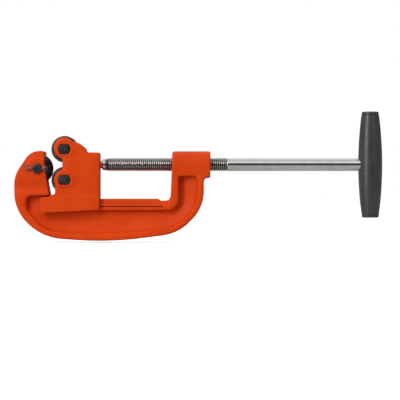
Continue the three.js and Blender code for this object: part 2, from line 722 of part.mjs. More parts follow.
// The bores in the carrier: one for the screw's spigot, two across it for the retaining pins.
function screwSocket() {
  const bottom = spigotTip - SIDE_GAP - DISC_THICK - SIDE_GAP;
  const bore = bar(SPIGOT_RADIUS + RUNNING_GAP, bottom, carrierBack + 1, 24, "x");
  const holes = [-retainingY, retainingY].map((y) =>
    bar(
      RETAINING_PIN_RADIUS + RUNNING_GAP,
      retainingTop - RETAINING_PIN_LENGTH - SIDE_GAP,
      CARRIER_TOP + 1,
      16,
      "z",
    ).translate(grooveX, y, 0),
  );
  return wasm.Manifold.union([bore, ...holes]);
}

function feedScrew() {
  const core = turned(
    [
      [0, spigotTip],
      [SPIGOT_RADIUS - SCREW_CHAMFER, spigotTip],
      [SPIGOT_RADIUS, spigotTip + SCREW_CHAMFER],
      [SPIGOT_RADIUS, grooveX - grooveHalf],
      [SPIGOT_GROOVE_RADIUS, grooveX - grooveHalf],
      [SPIGOT_GROOVE_RADIUS, grooveX + grooveHalf],
      [SPIGOT_RADIUS, grooveX + grooveHalf],
      [SPIGOT_RADIUS, leadStart],
      [leadRadius - SCREW_CHAMFER, leadStart],
      [leadRadius, leadStart + SCREW_CHAMFER],
      [leadRadius, threadStart + THREAD_LAP],
      [coreRadius, threadStart + THREAD_LAP],
      [coreRadius, threadEnd - THREAD_LAP],
      [shankRadius, threadEnd - THREAD_LAP],
      [shankRadius, shankEnd - SCREW_CHAMFER],
      [shankRadius - SCREW_CHAMFER, shankEnd],
      [0, shankEnd],
    ],
    THREAD_SIDES,
    "x",
  );
  const barHole = bar(BAR_RADIUS + RUNNING_GAP, -shankRadius - 1, shankRadius + 1, 24, "z")
    .translate(GRIP_AXIS, 0, 0);
  const thread = vThread(THREAD_RADIUS, threadValley, threadStart, threadEnd);
  return core.add(thread).subtract(barHole).subtract(rollPinHole());
}

function rollPinHole() {
  return bar(ROLL_PIN_RADIUS + ROLL_PIN_GAP, -shankRadius - 1, shankRadius + 1, 16, "y")
    .translate(GRIP_AXIS, 0, 0);
}

// ---- Grip: a cross bar through the screw's end, held by a roll pin, in a moulded barrel ----

function crossBar() {
  const profile = [
    [0, -BAR_HALF_LENGTH],
    [BAR_RADIUS, -BAR_HALF_LENGTH],
    [BAR_RADIUS, BAR_HALF_LENGTH],
    [0, BAR_HALF_LENGTH],
  ];
  return turned(profile, 24, "z").translate(GRIP_AXIS, 0, 0).subtract(rollPinHole());
}

function rollPin() {
  const half = shankRadius - 0.8;
  const wall = bar(ROLL_PIN_RADIUS, -half, half, 16, "y");
  const bore = bar(ROLL_PIN_BORE, -half - 1, half + 1, 12, "y");
  return wall.subtract(bore).translate(GRIP_AXIS, 0, 0);
}

function gripBarrel() {
  const steps = 5;
  const side = Array.from({ length: 2 * steps + 1 }, (_, i) => {
    const place = ((i - steps) / steps) * (GRIP_HALF_LENGTH - GRIP_ROUND);
    const slim = (GRIP_MIDDLE_RADIUS - GRIP_END_RADIUS) * (place / GRIP_HALF_LENGTH) ** 2;
    return [GRIP_MIDDLE_RADIUS - slim, place];
  });
  const end = [
    [GRIP_END_RADIUS - GRIP_ROUND * 0.3, GRIP_HALF_LENGTH - GRIP_ROUND * 0.3],
    [GRIP_END_RADIUS - GRIP_ROUND, GRIP_HALF_LENGTH],
    [0, GRIP_HALF_LENGTH],
  ];
  const start = end.map(([radius, place]) => [radius, -place]).reverse();
  const barrel = turned([...start, ...side, ...end], 32, "z");
  const barRoom = bar(
    BAR_RADIUS + RUNNING_GAP, -BAR_HALF_LENGTH - SIDE_GAP, BAR_HALF_LENGTH + SIDE_GAP, 24, "z",
  );
  const shankRoom = bar(
    shankRadius + RUNNING_GAP, -GRIP_MIDDLE_RADIUS - 1, SHANK_PAST_BAR + SIDE_GAP, 24, "x",
  );
  return barrel.subtract(barRoom).subtract(shankRoom).translate(GRIP_AXIS, 0, 0);
}

addPiece("frame", yoke(), castPaint);
addPiece("cutter_wheel", cutterWheel(), blackSteel);
addPiece("cutter_wheel_pin", wheelPin(), darkSteel);
addPiece("cutter_wheel_split_pin", splitPin(), brightSteel);
addPiece("roller_carrier", carrier(), castPaint);
for (const [side, z] of [["upper", rollerZ], ["lower", -rollerZ]]) {
  addPiece(side + "_roller", roller().translate(rollerX, 0, z), blackSteel);
  addPiece(side + "_roller_pin", rollerPin().translate(rollerX, 0, z), darkSteel);
  addPiece(side + "_pin_washer", pinWasher().translate(rollerX, 0, z), brightSteel);
  addPiece(side + "_pin_clip", pinClip().translate(rollerX, 0, z), blackSteel);
}
addPiece("feed_screw", feedScrew(), brightSteel);
addPiece(
  "screw_thrust_disc",
  bar(SPIGOT_RADIUS, 0, DISC_THICK, 24, "x").translate(spigotTip - SIDE_GAP - DISC_THICK, 0, 0),
  darkSteel,
);
for (const [side, y] of [["near", -retainingY], ["far", retainingY]]) {
  const pin = bar(
    RETAINING_PIN_RADIUS, retainingTop - RETAINING_PIN_LENGTH, retainingTop, 16, "z",
  );
  addPiece(side + "_retaining_pin", pin.translate(grooveX, y, 0), darkSteel);
}
addPiece("handle_cross_bar", crossBar(), darkSteel);
addPiece("handle_roll_pin", rollPin(), darkSteel);
addPiece("handle_grip", gripBarrel(), blackPlastic);

export default tool;
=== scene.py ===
import math

import bmesh
import bpy
import numpy as np
from mathutils import Matrix, Vector


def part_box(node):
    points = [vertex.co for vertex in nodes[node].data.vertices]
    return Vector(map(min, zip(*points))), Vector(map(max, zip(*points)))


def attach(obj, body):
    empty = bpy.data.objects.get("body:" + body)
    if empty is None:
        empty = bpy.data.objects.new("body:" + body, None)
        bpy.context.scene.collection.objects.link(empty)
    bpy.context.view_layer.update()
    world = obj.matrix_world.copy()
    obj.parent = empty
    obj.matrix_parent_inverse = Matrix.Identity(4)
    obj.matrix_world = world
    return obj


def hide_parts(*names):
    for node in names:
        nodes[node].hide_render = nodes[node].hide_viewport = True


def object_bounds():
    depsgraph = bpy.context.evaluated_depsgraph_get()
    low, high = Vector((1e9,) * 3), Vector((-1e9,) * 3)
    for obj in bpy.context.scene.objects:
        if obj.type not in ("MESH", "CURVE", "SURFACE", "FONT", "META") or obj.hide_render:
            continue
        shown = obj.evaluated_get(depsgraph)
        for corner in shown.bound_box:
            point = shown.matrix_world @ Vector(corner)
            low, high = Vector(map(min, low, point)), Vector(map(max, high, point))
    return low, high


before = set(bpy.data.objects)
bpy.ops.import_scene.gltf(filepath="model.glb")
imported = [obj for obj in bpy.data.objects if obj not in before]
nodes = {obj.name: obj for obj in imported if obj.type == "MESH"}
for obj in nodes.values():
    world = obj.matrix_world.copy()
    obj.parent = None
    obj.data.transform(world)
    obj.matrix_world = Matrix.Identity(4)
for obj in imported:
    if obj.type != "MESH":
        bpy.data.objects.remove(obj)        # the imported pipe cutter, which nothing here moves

mm = 0.001
mergeReach = 1e-7              # metres; points nearer than this become one
cadLow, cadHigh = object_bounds()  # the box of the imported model
scene = bpy.context.scene
print("frame loaded:", len(nodes), "nodes")


# places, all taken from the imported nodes

def middleOf(node):
    low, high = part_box(node)
    return (low + high) / 2


wheelAt = middleOf("cutter_wheel")
upperAt = middleOf("upper_roller")
lowerAt = middleOf("lower_roller")
yokeLow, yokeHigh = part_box("frame")
carrierLow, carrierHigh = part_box("roller_carrier")
screwLow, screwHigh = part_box("feed_screw")
gripAt = middleOf("handle_cross_bar")


# mesh helpers

def roundedLine(corners, steps=4):
    # corners are (radius, place, rounding) in millimetres; each rounding becomes a short arc
    points = []
    for i, (x, y, rounding) in enumerate(corners):
        if rounding == 0 or i in (0, len(corners) - 1):
            points.append((x, y))
            continue
        here = Vector((x, y))
        before = Vector(corners[i - 1][:2]) - here
        after = Vector(corners[i + 1][:2]) - here
        turn = before.angle(after)
        reach = min(rounding / math.tan(turn / 2), before.length * 0.49, after.length * 0.49)
        radius = reach * math.tan(turn / 2)
        centre = here + (before.normalized() + after.normalized()).normalized() * radius / math.sin(turn / 2)
        start = here + before.normalized() * reach - centre
        sweep = start.angle_signed(here + after.normalized() * reach - centre)
        for step in range(steps + 1):
            spin = Matrix.Rotation(-sweep * step / steps, 2)
            points.append(tuple(centre + spin @ start))
    return points


def objectFrom(name, points, faces, bare=None):
    mesh = bpy.data.meshes.new(name)
    mesh.from_pydata([tuple(p) for p in points], [], faces)
    if bare is not None:
        mesh.attributes.new("bareEdge", "FLOAT", "FACE").data.foreach_set("value", bare)
    mesh.update()
    return closed(bpy.data.objects.new(name, mesh))


def closed(item):
    # doubles merged, faces outwards
    work = bmesh.new()
    work.from_mesh(item.data)
    bmesh.ops.remove_doubles(work, verts=work.verts, dist=mergeReach)
    bmesh.ops.recalc_face_normals(work, faces=work.faces)
    if work.calc_volume(signed=True) < 0:
        bmesh.ops.reverse_faces(work, faces=work.faces)
    work.to_mesh(item.data)
    work.free()
    item.data.update()
    if item.name not in scene.collection.objects:
        scene.collection.objects.link(item)
    return item


edgeSpan = 0.85 * mm  # a turned face shorter than this is a rounded or chamfered edge


def lathe(name, corners, axis="y", at=(0, 0, 0), sides=72, ring=False, steps=4):
    # corners are millimetres from the axis and along it; a ring's line closes on itself
    line = [(r * mm, p * mm) for r, p in roundedLine(corners, steps)]
    points, faces = [], []
    rows = []
    for radius, place in line:
        if radius < 1e-9:
            rows.append([len(points)] * sides)
            points.append(onAxis(axis, at, place, 0, 0))
            continue
        rows.append(list(range(len(points), len(points) + sides)))
        for side in range(sides):
            angle = 2 * math.pi * side / sides
            points.append(onAxis(axis, at, place, radius * math.cos(angle), radius * math.sin(angle)))
    pairs = list(zip(rows, rows[1:]))
    lengths = [math.dist(a, b) for a, b in zip(line, line[1:])]
    if ring:
        pairs.append((rows[-1], rows[0]))
        lengths.append(math.dist(line[-1], line[0]))
    # faces of chamfers and rounded edges, for the lighter bare metal there, which also serves as a painted
    # reflection
    bare = []
    for (first, second), length in zip(pairs, lengths):
        for side in range(sides):
            after = (side + 1) % sides
            face = [first[side], first[after], second[after], second[side]]
            face = list(dict.fromkeys(face))
            if len(face) > 2:
                faces.append(face)
                bare.append(1.0 if length < edgeSpan else 0.0)
    return objectFrom(name, points, faces, bare)


def onAxis(axis, at, place, across, up):
    if axis == "x":
        return (at[0] + place, at[1] + across, at[2] + up)
    if axis == "y":
        return (at[0] + across, at[1] + place, at[2] + up)
    return (at[0] + across, at[1] + up, at[2] + place)


def rod(radius, start, end, axis="y", at=(0, 0, 0), sides=64):
    # a plain round cutter or filler, in millimetres
    return lathe("rod", [(0, start, 0), (radius, start, 0), (radius, end, 0), (0, end, 0)], axis, at, sides)


def loft(name, rings):
    # rings with as many points each, joined in order and closed at both ends
    size = len(rings[0])
    last = (len(rings) - 1) * size
    faces = [list(range(size)), list(range(last, last + size))]
    for start in range(0, last, size):
        for i in range(size):
            after = start + (i + 1) % size
            faces.append([start + i, after, after + size, start + i + size])
    return objectFrom(name, [point for ring in rings for point in ring], faces)


def slab(outline, near, far):
    # a side view outline, in millimetres, given its thickness
    return loft("slab", [[(x * mm, y * mm, z * mm) for x, z in outline] for y in (near, far)])


def sideProfile(left, right, outline):
    # an outline of (y, z) in millimetres, given its length along x
    return loft("sideProfile", [[(x * mm, y * mm, z * mm) for y, z in outline] for x in (left, right)])


def block(low, high):
    outline = [(low[0], low[2]), (high[0], low[2]), (high[0], high[2]), (low[0], high[2])]
    return slab(outline, low[1], high[1])


def bake(item):
    # the item's modifiers become its mesh
    bpy.context.view_layer.update()
    graph = bpy.context.evaluated_depsgraph_get()
    mesh = bpy.data.meshes.new_from_object(item.evaluated_get(graph))
    item.modifiers.clear()
    old = item.data
    item.data = mesh
    mesh.name = item.name
    if old.users == 0:
        bpy.data.meshes.remove(old)
    return item


def combine(item, others, operation):
    for other in others:
        step = item.modifiers.new("combine", "BOOLEAN")
        step.operation = operation
        step.object = other
        step.solver = "MANIFOLD"
        bake(item)
        if len(item.data.polygons) == 0:
            raise RuntimeError(item.name + " vanished in a cut")
        bpy.data.objects.remove(other)
    return item


def cut(item, *cutters):
    return combine(item, cutters, "DIFFERENCE")


def weld(item, *others):
    return combine(item, others, "UNION")


def finishPiece(item, body, material, slotName, *replaced, angle=32):
    # edges sharper than `angle` degrees stay crisp
    closed(item)
    item.data.materials.clear()
    item.data.materials.append(material)
    item.data.shade_smooth()
    item.data.set_sharp_from_angle(angle=math.radians(angle))
    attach(item, body)
    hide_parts(*replaced)
    return item


# castings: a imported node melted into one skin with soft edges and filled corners

def skinArrays(mesh):
    co = np.zeros(len(mesh.vertices) * 3)
    mesh.vertices.foreach_get("co", co)
    edges = np.zeros(len(mesh.edges) * 2, int)
    mesh.edges.foreach_get("vertices", edges)
    return co.reshape(-1, 3), edges.reshape(-1, 2)


def neighbourMean(values, edges, count):
    total = np.stack([
        np.bincount(edges[:, 0], values[edges[:, 1], k], count)
        + np.bincount(edges[:, 1], values[edges[:, 0], k], count)
        for k in range(values.shape[1])
    ], 1)
    share = np.bincount(edges.ravel(), minlength=count)
    return total / np.maximum(share, 1)[:, None]


def pointNormals(mesh, co):
    mesh.vertices.foreach_set("co", co.ravel())
    mesh.update()
    normals = np.zeros(len(co) * 3)
    mesh.vertices.foreach_get("normal", normals)
    return normals.reshape(-1, 3)


relax = 0.5        # share of the way that a point moves to the middle of its neighbours
fillRelax = 0.9    # the same in an inner corner
lastRelax, lastRounds = 0.4, 2


def within(p, x=(-1e3, 1e3), y=(-1, 1e3), z=(-1e3, 1e3)):
    # points inside a box in millimetres; y counts from the middle to both sides
    deep = np.abs(p[:, 1])
    inside = (p[:, 0] > x[0]) & (p[:, 0] < x[1]) & (p[:, 2] > z[0]) & (p[:, 2] < z[1])
    return inside & (deep > y[0]) & (deep < y[1])


def castSkin(item, sizes, crisp, shape=None, soft=None):
    packed, _ = skinArrays(item.data)
    melt = item.modifiers.new("melt", "REMESH")
    melt.mode = "VOXEL"
    melt.voxel_size = sizes["grain"] * mm
    bake(item)
    mesh = item.data
    co, edges = skinArrays(mesh)
    if shape is not None:
        co = shape(co / mm) * mm
    if soft is not None:  # drafted walls and ramps
        share = soft(co / mm)[:, None]
        for _ in range(sizes["softRounds"]):
            co += relax * share * (neighbourMean(co, edges, len(co)) - co)
    for _ in range(sizes["edgeRounds"]):  # outer edges round off
        co += relax * (neighbourMean(co, edges, len(co)) - co)
    free = 1.0 - crisp(co / mm).astype(float)
    for _ in range(sizes["cornerRounds"]):  # inner corners fill up like a cast fillet
        normals = pointNormals(mesh, co)
        shift = neighbourMean(co, edges, len(co)) - co
        rise = np.einsum("ij,ij->i", shift, normals)
        co += (np.where(rise > 0, fillRelax, 0.0) * free)[:, None] * shift
    for _ in range(lastRounds):
        co += lastRelax * (neighbourMean(co, edges, len(co)) - co)
    pointNormals(mesh, np.clip(co, packed.min(0), packed.max(0)))
    return item


def markEdges(item, rounds):
    # edgeTone: above 0 on outer edges, below 0 in corners; the enamel paints highlights onto the edges and
    # shade into the corners from it
    mesh = item.data
    co, edges = skinArrays(mesh)
    normals = pointNormals(mesh, co)
    along = co[edges[:, 1]] - co[edges[:, 0]]
    along /= np.maximum(np.linalg.norm(along, axis=1), 1e-9)[:, None]
    first = np.einsum("ij,ij->i", along, normals[edges[:, 0]])
    second = -np.einsum("ij,ij->i", along, normals[edges[:, 1]])
    count = len(co)
    total = np.bincount(edges[:, 0], first, count) + np.bincount(edges[:, 1], second, count)
    share = np.bincount(edges.ravel(), minlength=count)
    tone = -total / np.maximum(share, 1)
    tone = tone[:, None]
    for _ in range(rounds):
        tone += relax * (neighbourMean(tone, edges, count) - tone)
    layer = mesh.attributes.new("edgeTone", "FLOAT", "POINT")
    layer.data.foreach_set("value", tone[:, 0].astype(np.float32))
    return item


def copyOfNode(node, name):
    item = bpy.data.objects.new(name, nodes[node].data.copy())
    return closed(item)


def joinShells(item, shells):
    work = bmesh.new()
    work.from_mesh(item.data)
    for shell in shells:
        work.from_mesh(shell.data)
        bpy.data.objects.remove(shell)
    work.to_mesh(item.data)
    work.free()
    return item


# finishes

def newFinish(name):
    material = bpy.data.materials.new(name)
    material.use_nodes = True
    tree = material.node_tree
    tree.nodes.clear()
    output = tree.nodes.new("ShaderNodeOutputMaterial")
    shader = tree.nodes.new("ShaderNodeBsdfPrincipled")
    tree.links.new(shader.outputs["BSDF"], output.inputs["Surface"])
    place = tree.nodes.new("ShaderNodeTexCoord").outputs["Object"]
    return material, tree, shader, place


def grainOf(tree, place, size, detail=2.0, roughness=0.5, stretch=(1, 1, 1)):
    # noise whose blotches are about `size` millimetres across
    mapping = tree.nodes.new("ShaderNodeMapping")
    mapping.inputs["Scale"].default_value = stretch
    tree.links.new(place, mapping.inputs["Vector"])
    noise = tree.nodes.new("ShaderNodeTexNoise")
    noise.inputs["Scale"].default_value = 1 / (size * mm)
    noise.inputs["Detail"].default_value = detail
    noise.inputs["Roughness"].default_value = roughness
    tree.links.new(mapping.outputs["Vector"], noise.inputs["Vector"])
    return noise.outputs["Fac"]


def spread(tree, value, fromLow, fromHigh, toLow, toHigh):
    node = tree.nodes.new("ShaderNodeMapRange")
    node.inputs["From Min"].default_value = fromLow
    node.inputs["From Max"].default_value = fromHigh
    node.inputs["To Min"].default_value = toLow
    node.inputs["To Max"].default_value = toHigh
    tree.links.new(value, node.inputs["Value"])
    return node.outputs["Result"]


def sums(tree, operation, first, second):
    node = tree.nodes.new("ShaderNodeMath")
    node.operation = operation
    for socket, value in zip(node.inputs, (first, second)):
        if isinstance(value, (int, float)):
            socket.default_value = value
        else:
            tree.links.new(value, socket)
    return node.outputs["Value"]


def blendColour(tree, factor, first, second):
    node = tree.nodes.new("ShaderNodeMix")
    node.data_type = "RGBA"
    tree.links.new(factor, node.inputs["Factor"])
    colours = [s for s in node.inputs if s.type == "RGBA"]
    for socket, value in zip(colours, (first, second)):
        if isinstance(value, tuple):
            socket.default_value = value + (1,)
        else:
            tree.links.new(value, socket)
    return [s for s in node.outputs if s.type == "RGBA"][0]


def relief(tree, shader, layers):
    # each layer is (height, depth in millimetres)
    normal = None
    for height, depth in layers:
        bump = tree.nodes.new("ShaderNodeBump")
        bump.inputs["Distance"].default_value = depth * mm
        bump.inputs["Strength"].default_value = 1
        tree.links.new(height, bump.inputs["Height"])
        if normal is not None:
            tree.links.new(normal, bump.inputs["Normal"])
        normal = bump.outputs["Normal"]
    tree.links.new(normal, shader.inputs["Normal"])


def dress(tree, shader, colour, gloss, roughness):
    tree.links.new(colour, shader.inputs["Base Color"])
    tree.links.new(spread(tree, gloss, 0.3, 0.7, *roughness), shader.inputs["Roughness"])


def attributeOf(tree, name):
    node = tree.nodes.new("ShaderNodeAttribute")
    node.attribute_name = name
    return node.outputs["Fac"]


enamelLook = {
    "colour": (0.610, 0.047, 0.0022),
    "faded": (0.665, 0.056, 0.0036),
    # painted shade for the inner corners
    "deep": (0.300, 0.014, 0.0016),
    # painted highlight for the outer edges
    "edge": (0.720, 0.085, 0.012),
    "dust": (0.210, 0.030, 0.016),
    "peel": 0.9,       # millimetres between the ripples of the dried paint
    "peelDepth": 0.016,
    "sand": 3.4,       # ripples left by the sand mould
    "sandDepth": 0.11,
    "roughness": (0.40, 0.58),
    "sheen": 0.09,     # share of a plain paint's mirror light
}


def orangeEnamel():
    look = enamelLook
    material, tree, shader, place = newFinish("orangeEnamel")
    patches = spread(tree, grainOf(tree, place, 26, 3), 0.35, 0.65, 0, 1)
    colour = blendColour(tree, patches, look["colour"], look["faded"])
    # painted shade: darker in the inner corners, where edgeTone is below 0
    corner = spread(tree, attributeOf(tree, "edgeTone"), -0.015, -0.12, 0, 0.9)
    colour = blendColour(tree, corner, colour, look["deep"])
    # painted highlight: lighter on the outer edges, broken into patches by noise
    ridge = spread(tree, attributeOf(tree, "edgeTone"), 0.04, 0.16, 0, 1)
    edgeHighlightPatches = spread(tree, grainOf(tree, place, 2.2, 4, 0.65), 0.42, 0.62, 0.1, 0.5)
    colour = blendColour(tree, sums(tree, "MULTIPLY", ridge, edgeHighlightPatches), colour, look["edge"])
    specks = spread(tree, grainOf(tree, place, 0.75, 2, 0.4), 0.70, 0.76, 0, 0.6)
    colour = blendColour(tree, specks, colour, look["dust"])
    dress(tree, shader, colour, grainOf(tree, place, 7, 4, 0.6), look["roughness"])
    relief(tree, shader, [
        (grainOf(tree, place, look["sand"], 4, 0.55), look["sandDepth"]),
        (grainOf(tree, place, look["peel"], 2, 0.5), look["peelDepth"]),
    ])
    shader.inputs["Specular IOR Level"].default_value = look["sheen"]
    return material


steelLooks = {
    "blackSteel": {
        "colour": (0.030, 0.029, 0.032), "worn": (0.085, 0.080, 0.082), "metallic": 0.75,
        "roughness": (0.30, 0.46), "lines": 0.35, "lineDepth": 0.004, "stain": 5.0,
        "pits": 0.5, "bare": (0.210, 0.205, 0.200), "bareShare": 0.75,
    },
    "darkSteel": {
        "colour": (0.026, 0.024, 0.027), "worn": (0.060, 0.055, 0.060), "metallic": 0.8,
        "roughness": (0.32, 0.50), "lines": 0.4, "lineDepth": 0.005, "stain": 3.0,
        "pits": 0.6, "bare": (0.420, 0.410, 0.400), "bareShare": 0.9,
    },
    "dullSteel": {
        "colour": (0.210, 0.200, 0.190), "worn": (0.120, 0.110, 0.105), "metallic": 0.95,
        "roughness": (0.30, 0.46), "lines": 0.3, "lineDepth": 0.002, "stain": 2.0,
        "pits": 0.5, "bare": (0.400, 0.390, 0.380), "bareShare": 0.5,
    },
    "brightSteel": {
        "colour": (0.640, 0.635, 0.620), "worn": (0.550, 0.545, 0.530), "metallic": 1.0,
        "roughness": (0.11, 0.20), "lines": 0.3, "lineDepth": 0.0003, "stain": 9.0,
        "pits": 0.12, "bare": (0.800, 0.790, 0.770), "bareShare": 0.3,
    },
}


pitColour = (0.045, 0.036, 0.030)
rootShadeColour = (0.085, 0.072, 0.066)  # painted shade in the thread's roots


def steel(name):
    look = steelLooks[name]
    material, tree, shader, place = newFinish(name)
    stain = spread(tree, grainOf(tree, place, look["stain"], 5, 0.6), 0.36, 0.66, 0, 1)
    colour = blendColour(tree, stain, look["colour"], look["worn"])
    # worn bare metal on chamfers and rounded edges, lighter in patches; it also stands in for a painted
    # reflection on these edges
    rubbed = spread(tree, grainOf(tree, place, 1.3, 4, 0.65), 0.34, 0.60, 0.35, 1.0)
    rubbed = sums(tree, "MULTIPLY", rubbed, look["bareShare"])
    bare = sums(tree, "MULTIPLY", attributeOf(tree, "bareEdge"), rubbed)
    colour = blendColour(tree, bare, colour, look["bare"])
    pits = spread(tree, grainOf(tree, place, 0.45, 2, 0.4), 0.68, 0.76, 0, look["pits"])
    colour = blendColour(tree, pits, colour, pitColour)
    # painted shade: darker towards the thread's roots
    rootShade = spread(tree, attributeOf(tree, "rootTone"), 0.30, 0.78, 0, 0.92)
    colour = blendColour(tree, rootShade, colour, rootShadeColour)
    dress(tree, shader, colour, grainOf(tree, place, 1.6, 4, 0.6), look["roughness"])
    shader.inputs["Metallic"].default_value = look["metallic"]
    relief(tree, shader, [
        (grainOf(tree, place, look["lines"] * 6, 2, 0.5), look["lineDepth"] * 2),
        (grainOf(tree, place, look["lines"], 3, 0.6), look["lineDepth"]),
    ])
    return material


plasticLook = {
    "colour": (0.036, 0.036, 0.037),
    "rubbed": (0.047, 0.047, 0.047),
    "grain": 0.35,
    "grainDepth": 0.018,
    "seamHalf": 0.22,     # the line where the mould's halves met
    "seamDepth": 0.07,
    "roughness": (0.30, 0.40),
}


def blackPlastic():
    look = plasticLook
    material, tree, shader, place = newFinish("blackPlastic")
    rubbed = spread(tree, grainOf(tree, place, 14, 4, 0.6), 0.38, 0.66, 0, 1)
    colour = blendColour(tree, rubbed, look["colour"], look["rubbed"])
    dress(tree, shader, colour, grainOf(tree, place, 5, 4, 0.6), look["roughness"])
    split = tree.nodes.new("ShaderNodeSeparateXYZ")
    tree.links.new(place, split.inputs["Vector"])
    seam = sums(tree, "ABSOLUTE", split.outputs["Y"], 0.0)
    seam = spread(tree, seam, 0.0, look["seamHalf"] * mm, 1, 0)
    relief(tree, shader, [
        (grainOf(tree, place, look["grain"], 2, 0.5), look["grainDepth"]),
        (seam, look["seamDepth"]),
    ])
    return material


enamel = orangeEnamel()
blackIron = steel("blackSteel")
darkIron = steel("darkSteel")
zinc = steel("brightSteel")
dullSteel = steel("dullSteel")
plastic = blackPlastic()
print("finishes made")


# yoke

overrun = 0.4    # millimetres that a cutter runs past a face
outside = 20     # from the middle, past both sides of the castings

yokeSizes = {
    "grain": 0.78,         # spacing of the skin's points
    "edgeRounds": 3,
    "cornerRounds": 22,
    "softRounds": 26,
    # the hollow's outer wall, each (x, z, rounding)
    "hollow": [
        (-27, -31.4, 0), (-27, -46.2, 16), (-7, -67.9, 30), (59, -71.1, 350),
        (125.2, -63.6, 36), (146.7, -42.1, 32), (146.7, -11.7, 0),
    ],
    "rimHalf": 14.0,
    "webHalf": 5.0,
    "webRise": 4.6,        # the web comes up this much towards the rim
    "webReach": 15.0,
    "webCurve": 1.5,
    "wallSoft": 4.5,
    "grooveTop": -41.9,    # the groove along the rail's side
    "grooveFoot": -43.1,
    "grooveHalf": 8.9,
    "grooveStart": -13.0,
    "grooveEnd": 112.0,
    "boreRadius": 7.36,
    "mouthRadius": 8.7,
    "bossLength": 39.0,
    "pinHole": 5.0,
    "slotHalf": 9.0,
    "slotReach": 16.4,     # from the wheel's axis
    "cheekX": (-60, 10),
    "cheekFace": 15.0,
    "cheekTop": -16.5,     # the cheek dips to a waist and comes back out to the rim
    "cheekWaistAt": -23.8,
    "cheekFoot": -28.6,
    "cheekWaist": 12.5,
    "flangeRight": 127.4,  # the column's inner flange
    "railFoot": -47.4,
    "cornerRadius": 12.0,  # where the rail's foot turns up into the flange
    "seatRadius": 8.6,     # the bore's and pin holes' fillers, cut again once the skin is smooth
    "bossInset": 0.8,
    "holeFiller": (5.5, 9.2, 15.2),  # radius, from and to
    "mouthDepth": 1.4,
    # where corners aren't filled
    "ringReach": 12.6,
    "ringY": (14, 1e3),
    "crispRail": {"x": (-13, 112), "y": (-1, 11), "z": (-47.5, 1e3)},
    "crispSlot": {"x": (-1e3, 4), "y": (-1, 9.8), "z": (-23, 1e3)},
    "railZone": {"x": (-1e3, 128), "z": (-47.5, 1e3)},  # where the web keeps its thickness
    "ramp": {"x": (107, 126), "y": (7, 1e3), "z": (-52, -34)},  # softened from rail to column
    "rampShare": 0.8,
}


def makeYoke():
    s = yokeSizes
    wheelX, wheelZ = wheelAt.x / mm, wheelAt.z / mm
    bossEnd = yokeHigh.x / mm
    bossStart = bossEnd - s["bossLength"]
    item = copyOfNode("frame", "yokeCasting")
    face, waist, rim = s["cheekFace"] + 0.05, s["cheekWaist"], s["rimHalf"]
    right, radius = s["flangeRight"], s["cornerRadius"]
    hubX, hubZ = right - radius, s["railFoot"] + radius
    foot = s["railFoot"] - overrun
    corner = [(hubX, foot)]
    for a in np.linspace(0, math.pi / 2, 12):
        corner.append((hubX + radius * math.sin(a), hubZ - radius * math.cos(a)))
    corner += [(right + overrun, hubZ), (right + overrun, foot)]
    for side in (-1, 1):
        cut(item, sideProfile(*s["cheekX"], [
            (side * face, s["cheekTop"]), (side * waist, s["cheekWaistAt"]), (side * rim, s["cheekFoot"]),
            (side * outside, s["cheekFoot"]), (side * outside, s["cheekTop"]),
        ]))
        cut(item, slab(corner, *sorted((side * s["webHalf"], side * outside))))
    wheelPlace = (wheelAt.x, 0, wheelAt.z)
    radius, near, far = s["holeFiller"]
    joinShells(item, [
        rod(s["seatRadius"], bossStart + s["bossInset"], bossEnd - s["bossInset"], "x"),
        rod(radius, -far, -near, "y", wheelPlace), rod(radius, near, far, "y", wheelPlace),
    ])

    def crisp(p):
        ring = np.hypot(p[:, 0] - wheelX, p[:, 2] - wheelZ) < s["ringReach"]
        ring &= within(p, y=s["ringY"])
        return within(p, **s["crispRail"]) | within(p, **s["crispSlot"]) | ring

    hollow = roundedLine(s["hollow"], 10)

    def dish(p):
        # the web rises towards the rim, and the wall keeps its top
        gap, inside = distanceTo(hollow, p[:, [0, 2]])
        side, depth = np.sign(p[:, 1]), np.abs(p[:, 1])
        near = np.clip(1 - gap / s["webReach"], 0, 1) * inside * ~within(p, **s["railZone"])
        share = np.clip((s["rimHalf"] - depth) / (s["rimHalf"] - s["webHalf"]), 0, 1)
        p[:, 1] = side * (depth + s["webRise"] * near ** s["webCurve"] * share)
        return p

    def soft(p):
        gap, _ = distanceTo(hollow, p[:, [0, 2]])
        wall = np.clip(1.5 - gap / s["wallSoft"], 0, 1)
        return np.maximum(wall, s["rampShare"] * within(p, **s["ramp"]))

    castSkin(item, s, crisp, dish, soft)
    past, mouth = 2, s["mouthDepth"]
    bore = lathe("bore", [
        (0, bossStart - past, 0), (s["mouthRadius"] + past, bossStart - past, 0),
        (s["boreRadius"], bossStart + mouth, 0), (s["boreRadius"], bossEnd - mouth, 0),
        (s["mouthRadius"] + past, bossEnd + past, 0), (0, bossEnd + past, 0),
    ], "x", sides=72)
    pinHole = rod(s["pinHole"], -outside, outside, "y", wheelPlace)
    reach = s["slotReach"]
    arc = [
        (wheelX + reach * math.cos(a), wheelZ + reach * math.sin(a))
        for a in np.linspace(math.pi, 2 * math.pi, 40)
    ]
    back, top = s["cheekX"][0], outside
    slot = slab([(wheelX + reach, top), (back, top), (back, wheelZ)] + arc, -s["slotHalf"], s["slotHalf"])
    grooves = [
        block((s["grooveStart"], low, s["grooveFoot"]), (s["grooveEnd"], high, s["grooveTop"]))
        for low, high in ((-outside, -s["grooveHalf"]), (s["grooveHalf"], outside))
    ]
    cut(item, bore, pinHole, slot, *grooves)
    markEdges(item, 2)
    return finishPiece(item, "yoke", enamel, "orange_enamel", "frame", angle=50)


